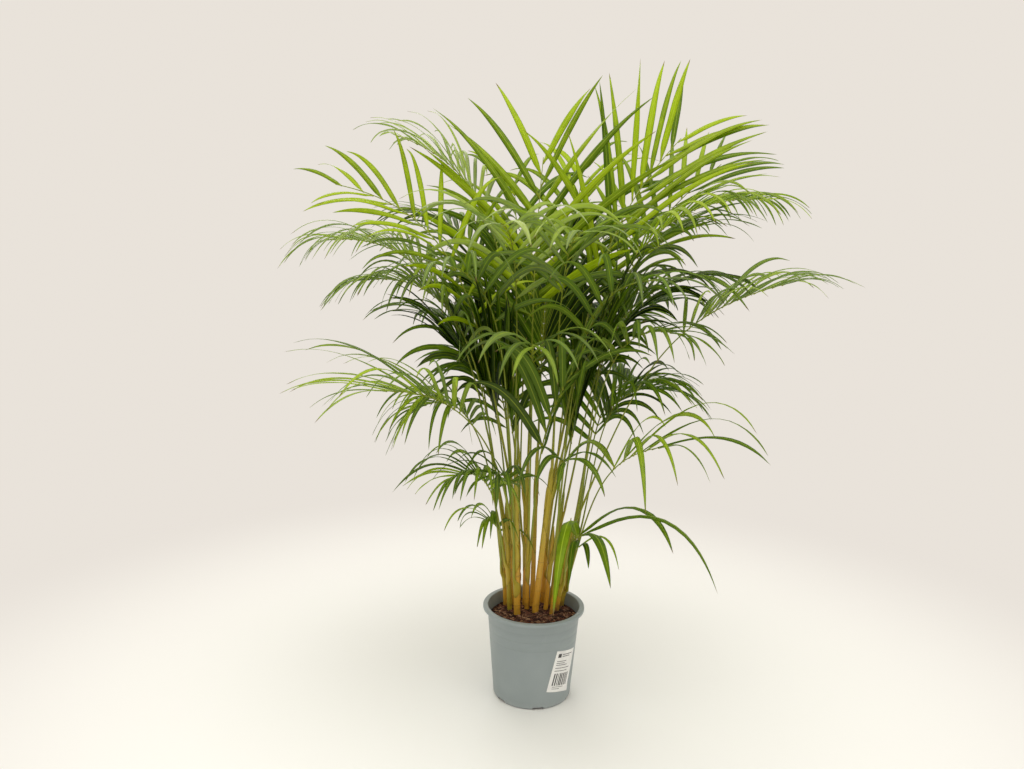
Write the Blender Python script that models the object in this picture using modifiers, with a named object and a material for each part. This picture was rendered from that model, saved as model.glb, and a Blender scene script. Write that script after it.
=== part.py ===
"""A potted areca palm: a nursery pot with its label, the compost that fills it, a clump of canes
that stand in sockets in the compost, and the fronds that grow from the canes.

Metres, +Z up. The origin is the middle of the pot's underside, and -Y is the side with the label.
Each cane and each frond is one grown piece. A frond is a stalk with leaflets along its outer part,
left and right in turn. Stalks and leaflets are grown one after another, and each one swings aside
until it is clear of everything that stands already.
"""
import math
import random

import bmesh
import bpy
from mathutils import Matrix, Quaternion, Vector
from mathutils.bvhtree import BVHTree

UP = Vector((0.0, 0.0, 1.0))

# --- pot ---------------------------------------------------------------------------------------
POT_HEIGHT = 0.190
RIM_RADIUS = 0.105              # outside of the turned-down rim
RIM_DEPTH = 0.0065
RIM_ROUND = 0.0022
RIM_WIDTH = 0.0088              # how far the rim stands out from the wall below it
COLLAR_DEPTH = 0.065            # flared part of the wall, measured from the top of the rim
COLLAR_FLARE = 0.0055           # how much wider the wall is at the rim than where the flare starts
WALL_DRAFT = 0.0105             # how much wider it is where the flare starts than at the ground
FOOT_ROUND = 0.004
POT_WALL = 0.0018
POT_FLOOR = 0.0022
DRAIN_COUNT = 6
DRAIN_WIDTH = 0.024
DRAIN_HEIGHT = 0.005
DRAIN_DEPTH = 0.009             # how far a drain notch reaches in from the foot
DRAIN_TURN = -81.5              # heading of the first notch, degrees
NECK_RADIUS = RIM_RADIUS - RIM_WIDTH
SHOULDER_RADIUS = NECK_RADIUS - COLLAR_FLARE
FOOT_RADIUS = SHOULDER_RADIUS - WALL_DRAFT
TURNED_STEPS = 40
ROUND_STEPS = 3                 # segments of a small rounding

# --- compost -----------------------------------------------------------------------------------
COMPOST_DROP = 0.020            # top of the compost's mound below the rim
COMPOST_MOUND = 0.006
MOUND_STEPS = 3
GAP = 0.0003                    # air between pieces that touch

# --- label -------------------------------------------------------------------------------------
LABEL_WIDTH = 0.057
LABEL_LENGTH = 0.088
LABEL_THICKNESS = 0.0004
LABEL_CENTRE = 0.0755           # height of its middle
LABEL_TURN = -46.5              # heading of its middle, degrees
LABEL_LEAN = 12.0               # how far its top leans to the right, degrees
LABEL_COLUMNS, LABEL_ROWS = 12, 4

# --- canes -------------------------------------------------------------------------------------
CANE_SIDES = 12
CANE_TAPER = 0.35               # share of the foot radius lost at the top
CANE_DEPTH = 0.050              # length inside the compost
# letter: (foot x and y as shares of the compost's radius, heading and degrees of lean,
#          height above the compost, foot radius)
CANES = {
    "a": (-0.64, 0.51, 175, 3, 0.16, 0.0050),
    "b": (-0.54, 0.20, 185, 3, 0.24, 0.0055),
    "c": (-0.37, -0.04, 200, 2, 0.29, 0.0070),
    "d": (-0.18, 0.48, 110, 2, 0.30, 0.0062),
    "e": (0.04, 0.07, 10, 5, 0.32, 0.0072),
    "f": (0.54, 0.24, 0, 7, 0.20, 0.0058),
    "g": (0.68, 0.57, 20, 8, 0.14, 0.0050),
    "h": (-0.33, 0.77, 120, 4, 0.22, 0.0055),
    "i": (0.24, 0.70, 60, 4, 0.28, 0.0058),
    "j": (0.29, 0.26, 350, 4, 0.18, 0.0050),
    "k": (-0.15, 0.22, 270, 2, 0.18, 0.0052),
    "l": (0.42, 0.52, 15, 5, 0.26, 0.0046),
    "m": (-0.02, 0.42, 80, 3, 0.34, 0.0056),
    "n": (0.40, 0.00, 340, 6, 0.10, 0.0036),
    "o": (-0.46, 0.56, 160, 3, 0.24, 0.0046),
}

# --- fronds ------------------------------------------------------------------------------------
PETIOLE_RADIUS = 0.0028
STALK_TIP_RADIUS = 0.0011
RISE_REACH = 0.50               # pull of the stalk's first direction, as a share of its chord
FALL_REACH = 0.38               # pull of its last direction
BARE_STEPS = 4                  # stalk segments below the first leaflet
LEAFLET_WIDTH = 0.021
LEAFLET_THICKNESS = 0.0008
LEAFLET_STEPS = 8
SPREAD = (60, 26)               # angle between leaflet and stalk, at the first and the last leaflet
LIFT = (28, 12)                 # how far a leaflet starts above the frond's plane, first and last
DROOP_POWER = 1.8               # how late along its length a leaflet bends down
LONGEST_AT = 0.35               # where on the leafy part the longest leaflets grow, as a share of it
SHORTER_FIRST = 0.28            # share of the longest leaflet's length that the first one lacks
SHORTER_LAST = 0.50             # share that the last one lacks
SPREAD_QUIRK = 5                # how much leaflets differ from each other: degrees, degrees and shares
LIFT_QUIRK = 8
LENGTH_QUIRK = (0.92, 1.06)
DROOP_QUIRK = (0.75, 1.30)
CLEARANCE = 0.0008              # air that a stalk or a leaflet keeps to its neighbours
# name: (cane, start above the compost, tip x, y and height above the compost, lean of the stalk's
#        start and of its tip in degrees, bare share, longest leaflet, droop, pairs, roll in degrees,
#        how far the leaflets have opened)
FRONDS = {
    "crown_left": ("d", 0.29, 0.00, 0.12, 0.94, 3, 16, 0.42, 0.36, 0.4, 8, 0, 0.95),
    "crown_right": ("e", 0.31, 0.29, 0.15, 0.99, 12, 46, 0.42, 0.33, 0.5, 11, 50, 0.7),
    "right_top": ("i", 0.22, 0.38, 0.16, 0.94, 15, 52, 0.50, 0.25, 0.6, 10, 35, 1.0),
    "right_arch": ("e", 0.27, 0.42, -0.02, 0.85, 12, 92, 0.50, 0.22, 1.4, 11, 0, 1.0),
    "far_right": ("f", 0.18, 0.46, -0.06, 0.69, 20, 74, 0.64, 0.24, 1.0, 7, 0, 1.0),
    "right_bright": ("g", 0.07, 0.24, -0.06, 0.37, 15, 74, 0.60, 0.38, 1.7, 5, 0, 1.0),
    "low_right": ("f", 0.06, 0.095, -0.03, 0.18, 6, 68, 0.78, 0.40, 2.3, 2, 0, 0.8),
    "lowest_right": ("g", 0.03, 0.10, 0.03, 0.14, 4, 50, 0.76, 0.17, 4.0, 2, 0, 1.0),
    "left_top": ("d", 0.25, -0.31, 0.12, 0.98, 8, 72, 0.48, 0.22, 1.1, 10, 0, 1.0),
    "left_arch": ("c", 0.27, -0.40, -0.02, 0.86, 12, 80, 0.36, 0.21, 0.7, 11, -45, 1.0),
    "left_second": ("b", 0.22, -0.43, 0.06, 0.76, 12, 95, 0.50, 0.25, 1.6, 10, 0, 1.0),
    "left_third": ("b", 0.18, -0.34, -0.05, 0.68, 9, 98, 0.50, 0.24, 1.8, 9, 0, 1.0),
    "left_fourth": ("c", 0.18, -0.29, -0.14, 0.48, 10, 88, 0.58, 0.32, 0.9, 6, 0, 1.0),
    "left_curl": ("a", 0.14, -0.24, -0.02, 0.43, 8, 115, 0.55, 0.22, 2.2, 7, 0, 1.0),
    "left_low": ("b", 0.11, -0.16, -0.04, 0.30, 10, 100, 0.50, 0.20, 1.9, 6, 0, 1.0),
    "lowest_left": ("a", 0.07, -0.10, 0.02, 0.19, 6, 70, 0.60, 0.16, 2.4, 3, 0, 1.0),
    "front_mid": ("k", 0.16, -0.02, -0.20, 0.57, 5, 100, 0.60, 0.21, 1.8, 6, 0, 0.9),
    "front_top": ("c", 0.28, -0.08, -0.20, 0.78, 4, 92, 0.52, 0.25, 1.6, 8, 0, 1.0),
    "front_arc": ("e", 0.30, 0.06, -0.20, 0.77, 4, 92, 0.52, 0.24, 1.6, 8, 0, 1.0),
    "front_left": ("c", 0.24, -0.20, -0.18, 0.71, 7, 92, 0.55, 0.24, 1.5, 7, 0, 1.0),
    "front_right": ("j", 0.12, 0.20, -0.18, 0.69, 8, 92, 0.56, 0.24, 1.5, 7, 0, 1.0),
    "front_low": ("n", 0.08, 0.05, -0.09, 0.34, 4, 100, 0.70, 0.18, 2.4, 2, 0, 0.8),
    "front_low_left": ("c", 0.08, -0.09, -0.08, 0.31, 4, 95, 0.66, 0.17, 2.2, 3, 0, 1.0),
    "right_fan_high": ("f", 0.16, 0.34, 0.12, 0.81, 11, 80, 0.45, 0.25, 1.2, 9, 0, 1.0),
    "right_fan_mid": ("l", 0.22, 0.32, 0.02, 0.70, 11, 82, 0.45, 0.26, 1.4, 9, 0, 1.0),
    "right_fan_low": ("g", 0.12, 0.28, 0.16, 0.65, 10, 85, 0.46, 0.25, 1.4, 8, 0, 1.0),
    "right_droop": ("f", 0.10, 0.26, -0.12, 0.59, 12, 105, 0.58, 0.20, 1.8, 6, 0, 1.0),
    "right_low": ("g", 0.10, 0.26, 0.04, 0.47, 15, 98, 0.54, 0.23, 1.6, 7, 0, 1.0),
    "crown_back": ("h", 0.20, -0.06, 0.26, 0.91, 4, 30, 0.48, 0.28, 0.9, 8, 0, 1.0),
    "crown_far": ("i", 0.26, 0.10, 0.29, 0.95, 6, 32, 0.45, 0.28, 0.9, 8, 0, 1.0),
    "inner_left": ("d", 0.16, -0.14, 0.04, 0.60, 6, 32, 0.38, 0.31, 0.6, 8, 0, 0.6),
    "inner_right": ("j", 0.16, 0.15, 0.05, 0.58, 9, 34, 0.36, 0.32, 0.6, 8, 0, 0.55),
    "inner_front": ("k", 0.12, 0.06, -0.08, 0.52, 4, 36, 0.45, 0.28, 0.9, 6, 0, 0.6),
    "inner_back": ("m", 0.31, 0.02, 0.16, 0.70, 5, 35, 0.36, 0.32, 0.7, 8, 0, 0.6),
    "inner_far_left": ("o", 0.21, -0.19, 0.08, 0.56, 6, 50, 0.42, 0.28, 0.8, 8, 0, 0.65),
    "back_left_high": ("h", 0.16, -0.26, 0.28, 0.83, 10, 80, 0.45, 0.25, 1.2, 8, 0, 1.0),
    "back_left_mid": ("a", 0.09, -0.26, 0.20, 0.61, 10, 90, 0.45, 0.24, 1.4, 8, 0, 1.0),
    "back_left_low": ("h", 0.07, -0.14, 0.28, 0.49, 12, 100, 0.45, 0.22, 1.5, 7, 0, 1.0),
    "back_mid": ("h", 0.12, -0.02, 0.36, 0.71, 12, 90, 0.45, 0.25, 1.4, 8, 0, 1.0),
    "back_right_high": ("i", 0.17, 0.22, 0.34, 0.83, 11, 80, 0.45, 0.26, 1.2, 8, 0, 1.0),
    "back_right_mid": ("i", 0.09, 0.20, 0.30, 0.61, 14, 90, 0.45, 0.24, 1.4, 8, 0, 1.0),
    "back_right_low": ("g", 0.05, 0.24, 0.22, 0.47, 16, 98, 0.45, 0.22, 1.5, 7, 0, 1.0),
}
# What a stalk tries, in order, to get clear: degrees of swing about its foot.
SWINGS = [side * step for step in (0, 2, 4, 6, 9, 12, 16) for side in ((1,) if step == 0 else (1, -1))]
# What a leaflet tries, in order: share of its length, degrees of lift, degrees of spread.
TRIES = [
    (share, lift, spread)
    for share in (1.0, 0.85, 0.7, 0.5, 0.3)
    for lift in (0, 7, -7, 14, -14, 21, -21)
    for spread in (0, 6, -6, 12, -12)
]

# --- colours: red, green, blue and roughness -----------------------------------------------------
POT_GREY = (0.26, 0.30, 0.30, 0.55)
COMPOST_BROWN = (0.07, 0.03, 0.018, 0.95)
LABEL_WHITE = (0.85, 0.85, 0.83, 0.6)
CANE_YELLOW = (0.45, 0.28, 0.04, 0.45)
LEAF_GREEN = (0.06, 0.17, 0.02, 0.42)


# --- helpers -----------------------------------------------------------------------------------
def new_collection(name):
    collection = bpy.data.collections.new(name)
    bpy.context.scene.collection.children.link(collection)
    return collection


def finish(obj, colour):
    """Give an object its own plain material."""
    material = bpy.data.materials.new(obj.name + "_finish")
    material.use_nodes = True
    shader = material.node_tree.nodes["Principled BSDF"]
    shader.inputs["Base Color"].default_value = (*colour[:3], 1.0)
    shader.inputs["Roughness"].default_value = colour[3]
    shader.inputs["Metallic"].default_value = 0.0
    obj.data.materials.append(material)


def mesh_object(name, bm, collection):
    mesh = bpy.data.meshes.new(name)
    bmesh.ops.recalc_face_normals(bm, faces=bm.faces)
    bm.to_mesh(mesh)
    bm.free()
    obj = bpy.data.objects.new(name, mesh)
    collection.objects.link(obj)
    return obj


def turned(name, outline, collection):
    """Turn an outline of (radius, height) points about the Z axis."""
    bm = bmesh.new()
    points = [bm.verts.new((radius, 0.0, height)) for radius, height in outline]
    for start, end in zip(points, points[1:]):
        bm.edges.new((start, end))
    mesh = bpy.data.meshes.new(name)
    bm.to_mesh(mesh)
    bm.free()
    obj = bpy.data.objects.new(name, mesh)
    collection.objects.link(obj)
    screw = obj.modifiers.new("turn", "SCREW")
    screw.steps = TURNED_STEPS
    screw.render_steps = TURNED_STEPS
    screw.use_merge_vertices = True
    screw.merge_threshold = 0.0001
    screw.use_smooth_shade = True
    return obj


def cut(obj, cutter):
    cutter.hide_render = True
    cutter.display_type = "WIRE"
    boolean = obj.modifiers.new("cut_" + cutter.name, "BOOLEAN")
    boolean.operation = "DIFFERENCE"
    boolean.solver = "EXACT"
    boolean.object = cutter


def direction(heading, lean):
    """Unit vector that leans away from upright towards a heading, both in degrees."""
    turn, tilt = math.radians(heading), math.radians(lean)
    return Vector((math.sin(tilt) * math.cos(turn), math.sin(tilt) * math.sin(turn), math.cos(tilt)))


def arc(centre_r, centre_z, radius, start, end, steps):
    """Points of an arc in the outline's plane, from one angle to another, in degrees."""
    angles = [math.radians(start + (end - start) * i / steps) for i in range(steps + 1)]
    return [(centre_r + radius * math.cos(a), centre_z + radius * math.sin(a)) for a in angles]


# --- pot, compost and label --------------------------------------------------------------------
def wall_radius(height):
    """Outside radius of the pot's wall at a height."""
    shoulder = POT_HEIGHT - COLLAR_DEPTH
    if height <= shoulder:
        return FOOT_RADIUS + (SHOULDER_RADIUS - FOOT_RADIUS) * height / shoulder
    return SHOULDER_RADIUS + (NECK_RADIUS - SHOULDER_RADIUS) * (height - shoulder) / COLLAR_DEPTH


def lining(height, clearance=0.0):
    """Radius inside the pot's wall at a height, less a clearance."""
    return wall_radius(height) - POT_WALL - clearance


def make_pot(parts, cutters):
    shoulder = POT_HEIGHT - COLLAR_DEPTH
    inside = [
        (0.0, POT_FLOOR),
        (lining(POT_FLOOR) - FOOT_ROUND, POT_FLOOR),
        (lining(FOOT_ROUND), POT_FLOOR + FOOT_ROUND),
        (lining(shoulder), shoulder),
        (lining(POT_HEIGHT), POT_HEIGHT - RIM_ROUND),
        (lining(POT_HEIGHT) + RIM_ROUND, POT_HEIGHT),
    ]
    rim = arc(RIM_RADIUS - RIM_ROUND, POT_HEIGHT - RIM_ROUND, RIM_ROUND, 90, 0, ROUND_STEPS) + [
        (RIM_RADIUS, POT_HEIGHT - RIM_DEPTH),
        (RIM_RADIUS - POT_WALL, POT_HEIGHT - RIM_DEPTH),
        (RIM_RADIUS - POT_WALL, POT_HEIGHT - POT_WALL),
        (NECK_RADIUS, POT_HEIGHT - POT_WALL),
    ]
    foot = arc(wall_radius(FOOT_ROUND) - FOOT_ROUND, FOOT_ROUND, FOOT_ROUND, 0, -90, ROUND_STEPS)
    outside = [(SHOULDER_RADIUS, shoulder)] + foot + [(0.0, 0.0)]
    pot = turned("pot", inside + rim + outside, parts)
    for index in range(DRAIN_COUNT):
        heading = math.radians(DRAIN_TURN + 360 * index / DRAIN_COUNT)
        inner = FOOT_RADIUS - DRAIN_DEPTH
        reach = 2 * DRAIN_DEPTH
        bm = bmesh.new()
        place = (
            Matrix.Rotation(heading, 4, "Z")
            @ Matrix.Translation((inner + reach / 2, 0.0, 0.0))
            @ Matrix.Diagonal((reach, DRAIN_WIDTH, 2 * DRAIN_HEIGHT, 1.0))
        )
        bmesh.ops.create_cube(bm, size=1.0, matrix=place)
        cut(pot, mesh_object(f"drain_cutter_{index + 1}", bm, cutters))
    finish(pot, POT_GREY)
    return pot


def compost_level():
    """Height of the top of the compost's mound, from which canes and fronds are measured."""
    return POT_HEIGHT - COMPOST_DROP


def compost_radius():
    return lining(compost_level() - COMPOST_MOUND, GAP)


def make_compost(parts, cutters):
    top, bottom = compost_level(), POT_FLOOR + GAP
    edge = top - COMPOST_MOUND
    shoulder = min(POT_HEIGHT - COLLAR_DEPTH, edge)
    mound = []
    for step in range(MOUND_STEPS + 1):
        share = step / MOUND_STEPS
        mound.append((compost_radius() * share, top - COMPOST_MOUND * share * share))
    side = [
        (lining(shoulder, GAP), shoulder),
        (lining(FOOT_ROUND, 2 * GAP), POT_FLOOR + FOOT_ROUND + GAP),
        (lining(POT_FLOOR, 2 * GAP) - FOOT_ROUND, bottom),
        (0.0, bottom),
    ]
    compost = turned("compost", mound + side, parts)
    for letter in CANES:
        cut(compost, make_cane(letter, "socket_cutter_" + letter, cutters, GAP))
    finish(compost, COMPOST_BROWN)
    return compost


def make_label(parts):
    bm = bmesh.new()
    size = Matrix.Diagonal((LABEL_WIDTH, LABEL_LENGTH, 1.0, 1.0))
    bmesh.ops.create_grid(bm, x_segments=LABEL_COLUMNS, y_segments=LABEL_ROWS, size=0.5, matrix=size)
    lean = Matrix.Rotation(math.radians(-LABEL_LEAN), 2)
    middle = wall_radius(LABEL_CENTRE)
    for vert in bm.verts:
        across, along = lean @ vert.co.xy
        height = LABEL_CENTRE + along
        heading = math.radians(LABEL_TURN) + across / middle
        radius = wall_radius(height) + GAP
        vert.co = (radius * math.cos(heading), radius * math.sin(heading), height)
    label = mesh_object("label", bm, parts)
    solid = label.modifiers.new("thickness", "SOLIDIFY")
    solid.thickness = LABEL_THICKNESS
    outward = label.data.polygons[0].normal.dot(label.data.polygons[0].center * Vector((1, 1, 0)))
    solid.offset = 1.0 if outward > 0 else -1.0
    finish(label, LABEL_WHITE)
    return label


# --- canes -------------------------------------------------------------------------------------
def cane_axis(letter):
    """Where a cane's axis meets the compost's level, and the axis's direction."""
    x, y, heading, lean = CANES[letter][:4]
    foot = Vector((x * compost_radius(), y * compost_radius(), compost_level()))
    return foot, direction(heading, lean)


def cane_radius(letter, height):
    top, radius = CANES[letter][4:]
    return radius * (1 - CANE_TAPER * max(height, 0.0) / top)


def make_cane(letter, name, collection, growth=0.0):
    """A tapered cane, or with a growth the socket that it stands in."""
    foot, along = cane_axis(letter)
    top = CANES[letter][4]
    start = foot - along * (CANE_DEPTH + growth)
    end = foot + along * top
    bm = bmesh.new()
    bmesh.ops.create_cone(
        bm,
        cap_ends=True,
        segments=CANE_SIDES,
        radius1=cane_radius(letter, 0.0) + growth,
        radius2=cane_radius(letter, top) + growth,
        depth=(end - start).length,
        matrix=Matrix.Translation((start + end) / 2) @ UP.rotation_difference(along).to_matrix().to_4x4(),
    )
    cane = mesh_object(name, bm, collection)
    cane.data.shade_smooth()
    cane.data.set_sharp_from_angle(angle=math.radians(40))
    return cane


# --- what already stands -----------------------------------------------------------------------
class Standing:
    """The pieces that are in place, each as a search tree with its box and its owner."""

    def __init__(self):
        self.pieces = []

    def add(self, owner, bm):
        low, high = box_of(bm)
        self.pieces.append((owner, BVHTree.FromBMesh(bm), low, high))

    def add_object(self, obj):
        bm = bmesh.new()
        bm.from_object(obj, bpy.context.evaluated_depsgraph_get())
        self.add(obj.name, bm)
        bm.free()

    def meets(self, bm, belongs):
        """True if a shape crosses a standing piece whose owner passes the test."""
        low, high = box_of(bm)
        tree = None
        for owner, other, other_low, other_high in self.pieces:
            apart = any(low[i] > other_high[i] or high[i] < other_low[i] for i in range(3))
            if apart or not belongs(owner):
                continue
            if tree is None:
                tree = BVHTree.FromBMesh(bm)
            if tree.overlap(other):
                return True
        return False


def box_of(bm):
    low = Vector(min(v.co[i] for v in bm.verts) for i in range(3))
    high = Vector(max(v.co[i] for v in bm.verts) for i in range(3))
    return low, high


# --- fronds ------------------------------------------------------------------------------------
class Frond:
    """One frond's course: a curve from beside its cane to its tip, turned by a swing."""

    def __init__(self, name, swing=0.0):
        (cane, start, x, y, height, rise, fall, self.bare, self.leaf, self.droop, self.pairs,
         self.roll, self.opening) = FRONDS[name]
        self.name = name
        foot, along = cane_axis(cane)
        axis_point = foot + along * start / along.z
        tip = Vector((x, y, compost_level() + height))
        reach = Matrix.Rotation(math.radians(swing), 3, "Z") @ ((tip - axis_point) * Vector((1, 1, 0)))
        self.heading = math.degrees(math.atan2(reach.y, reach.x))
        beside = cane_radius(cane, start) + PETIOLE_RADIUS + CLEARANCE + GAP
        base = axis_point + direction(self.heading, 90) * beside
        tip = Vector((axis_point.x + reach.x, axis_point.y + reach.y, tip.z))
        chord = (tip - base).length
        self.points = (
            base,
            base + direction(self.heading, rise) * chord * RISE_REACH,
            tip - direction(self.heading, fall) * chord * FALL_REACH,
            tip,
        )

    def point(self, share):
        a, b, c, d = self.points
        rest = 1 - share
        return a * rest**3 + b * 3 * rest * rest * share + c * 3 * rest * share * share + d * share**3

    def frame(self, share):
        """Along, left and up at a share of the stalk."""
        a, b, c, d = self.points
        rest = 1 - share
        along = ((b - a) * rest * rest + (c - b) * 2 * rest * share + (d - c) * share * share).normalized()
        left = UP.cross(direction(self.heading, 90))
        left = (left - along * left.dot(along)).normalized()
        up = along.cross(left)
        turn = Quaternion(along, math.radians(self.roll))
        return along, turn @ left, turn @ up

    def radius(self, share):
        return PETIOLE_RADIUS + (STALK_TIP_RADIUS - PETIOLE_RADIUS) * share

    def section(self, share, growth=0.0):
        """The stalk's three corners at a share: ridge, left and right."""
        middle, (_, left, up) = self.point(share), self.frame(share)
        radius = self.radius(share) + growth
        low = middle - up * radius / 2
        side = left * radius * math.sin(math.radians(60))
        return [middle + up * radius, low + side, low - side]

    def shares(self):
        """Shares of the stalk at which its segments start, from the foot to the tip."""
        bare = [self.bare * i / BARE_STEPS for i in range(BARE_STEPS)]
        count = 2 * self.pairs
        return bare + [self.bare + (1 - self.bare) * i / count for i in range(count + 1)]


def fullness(share):
    """Length of a leaflet against the longest, along the leafy part of a frond."""
    if share < LONGEST_AT:
        return 1 - SHORTER_FIRST * (1 - share / LONGEST_AT) ** 2
    return 1 - SHORTER_LAST * ((share - LONGEST_AT) / (1 - LONGEST_AT)) ** 2


def blend(ends, share):
    return ends[0] + (ends[1] - ends[0]) * share


def leaflet_path(frond, index, quirks, attempt):
    """The course of one leaflet, with the small quirks it grew with and what it tries to get clear."""
    length_share, lift_change, spread_change = attempt
    spread_quirk, lift_quirk, length_quirk, droop_quirk = quirks
    side = 1 if index % 2 == 0 else -1
    outward = index / (2 * frond.pairs - 1)
    share = frond.bare + (1 - frond.bare) * (index + 0.5) / (2 * frond.pairs)
    along, left, up = frond.frame(share)
    spread = math.radians(blend(SPREAD, outward) * frond.opening + spread_quirk + spread_change)
    lift = math.radians(blend(LIFT, outward) + lift_quirk + lift_change)
    start = along * math.cos(spread)
    start += (left * side * math.cos(lift) + up * math.sin(lift)) * math.sin(spread)
    length = frond.leaf * fullness(outward) * length_quirk * length_share
    point = frond.point(share)
    path = [point]
    for step in range(LEAFLET_STEPS):
        bend = frond.droop * droop_quirk * ((step + 0.5) / LEAFLET_STEPS) ** DROOP_POWER
        point = point + (start - UP * bend).normalized() * length / LEAFLET_STEPS
        path.append(point)
    return path


def blade_section(frond, index, path, step, half_width, half_thickness):
    """Corners across a leaflet: stem side and far side of its top, far and stem side below."""
    share = frond.bare + (1 - frond.bare) * (index + 0.5) / (2 * frond.pairs)
    along = frond.frame(share)[0]
    course = (path[step + 1] - path[step - 1]).normalized()
    across = (along - course * along.dot(course)).normalized()
    side = 1 if index % 2 == 0 else -1
    normal = across.cross(course) * side
    wide, thick = across * half_width, normal * half_thickness
    middle = path[step]
    return [middle - wide + thick, middle + wide + thick, middle + wide - thick, middle - wide - thick]


def prism(sections):
    """A closed bar through sections with as many corners each, its last end still flat."""
    bm = bmesh.new()
    count = len(sections[0])
    bmesh.ops.create_cone(bm, cap_ends=True, segments=count, radius1=1.0, radius2=1.0, depth=1.0)
    ends = {}
    for level in (-1, 1):
        ring = [v for v in bm.verts if v.co.z * level > 0]
        ends[level] = sorted(ring, key=lambda v: math.atan2(v.co.y, v.co.x))
    cap = next(f for f in bm.faces if all(v in ends[1] for v in f.verts))
    for verts, corners in ((ends[-1], sections[0]), (ends[1], sections[1])):
        for vert, corner in zip(verts, corners):
            vert.co = corner
    corners_now = ends[1]
    rings = [ends[-1], ends[1]]
    for section in sections[2:]:
        cap, corners_now = pull(bm, cap, corners_now, section)
        rings.append(corners_now)
    return bm, cap, rings


def pull(bm, face, corners, targets):
    """Extrude a face and move each of its corners to a target."""
    new_face = bmesh.ops.extrude_discrete_faces(bm, faces=[face])["faces"][0]
    moved = []
    for corner in corners:
        twin = next(v for v in new_face.verts if any(e.other_vert(v) is corner for e in v.link_edges))
        moved.append(twin)
    for twin, target in zip(moved, targets):
        twin.co = target
    return new_face, moved


def to_point(bm, face, tip):
    """Close a face off in a point."""
    bmesh.ops.poke(bm, faces=[face])["verts"][0].co = tip


def crease(near, far):
    """Divide a leaflet's top and underside along matching diagonals, so that they stay apart."""
    for first, second in ((near[0], far[1]), (near[3], far[2])):
        face = next(f for f in first.link_faces if second in f.verts)
        bmesh.utils.face_split(face, first, second)


def loose_blade(root, wide, tip):
    """A closed leaflet of its own: from its root over its widest section to its tip."""
    bm, cap, rings = prism([root, wide])
    to_point(bm, cap, tip)
    crease(rings[0], rings[1])
    return bm


def grow_stalk(standing, name):
    """The first swing that is clear of what stands, and the stalk's shape."""
    for swing in SWINGS:
        frond = Frond(name, swing)
        guard = prism([frond.section(share, CLEARANCE) for share in frond.shares()])[0]
        blocked = standing.meets(guard, lambda owner: True)
        guard.free()
        if not blocked:
            break
    else:
        print("no clear swing for", name)
    bm, _, rings = prism([frond.section(share) for share in frond.shares()])
    standing.add(name, bm)
    return frond, bm, rings


def grow_leaflet(standing, frond, bm, rings, index, quirks):
    """Add one leaflet on the side of its stalk segment, or none where nothing is clear."""
    ring = BARE_STEPS + index
    side = 1 if index % 2 == 0 else 2
    corners = [rings[ring][0], rings[ring + 1][0], rings[ring + 1][side], rings[ring][side]]
    width = LEAFLET_WIDTH / 2
    thickness = LEAFLET_THICKNESS / 2
    middle_step, first_step = LEAFLET_STEPS // 2, 1
    for attempt in TRIES:
        path = leaflet_path(frond, index, quirks, attempt)
        tip_guard = path[-1] + (path[-1] - path[-2]).normalized() * CLEARANCE
        wide_guard = blade_section(
            frond, index, path, middle_step, width + CLEARANCE, thickness + CLEARANCE
        )
        blocked = False
        for start, belongs in (
            ([corner.co for corner in corners], lambda owner: owner != frond.name),
            (blade_section(frond, index, path, first_step, width, thickness), lambda owner: owner == frond.name),
        ):
            guard = loose_blade(start, wide_guard, tip_guard)
            blocked = blocked or standing.meets(guard, belongs)
            guard.free()
        if blocked:
            continue
        face = next(f for f in corners[0].link_faces if all(c in f.verts for c in corners))
        targets = blade_section(frond, index, path, middle_step, width, thickness)
        blade, widest = pull(bm, face, corners, targets)
        to_point(bm, blade, path[-1])
        crease(corners, widest)
        shape = loose_blade([corner.co for corner in corners], targets, path[-1])
        standing.add(frond.name, shape)
        shape.free()
        return attempt
    return None


def grow_fronds(standing, parts):
    stalks = {name: grow_stalk(standing, name) for name in FRONDS}
    for name, (frond, bm, rings) in stalks.items():
        chance = random.Random(name)
        for index in range(2 * frond.pairs):
            quirks = (
                chance.uniform(-SPREAD_QUIRK, SPREAD_QUIRK),
                chance.uniform(-LIFT_QUIRK, LIFT_QUIRK),
                chance.uniform(*LENGTH_QUIRK),
                chance.uniform(*DROOP_QUIRK),
            )
            grow_leaflet(standing, frond, bm, rings, index, quirks)
        finish(mesh_object("frond_" + name, bm, parts), LEAF_GREEN)


def main():
    for obj in list(bpy.data.objects):
        bpy.data.objects.remove(obj, do_unlink=True)
    parts = new_collection("potted_palm")
    cutters = new_collection("cutters")
    standing = Standing()
    standing.add_object(make_pot(parts, cutters))
    standing.add_object(make_compost(parts, cutters))
    make_label(parts)
    for letter in CANES:
        cane = make_cane(letter, "cane_" + letter, parts)
        finish(cane, CANE_YELLOW)
        standing.add_object(cane)
    grow_fronds(standing, parts)


main()
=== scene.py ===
"""The looks of a potted areca palm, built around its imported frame.

Every frond, cane, the pot, the compost and the label get a fine mesh of their own where their plain
solid lies. Metres, +Z up, the origin in the middle of the pot's underside.
"""

import random
from math import atan2, cos, degrees, exp, hypot, pi, radians, sin, sqrt

import bmesh
import bpy
from mathutils import Matrix, Quaternion, Vector, noise
from mathutils.kdtree import KDTree


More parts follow.
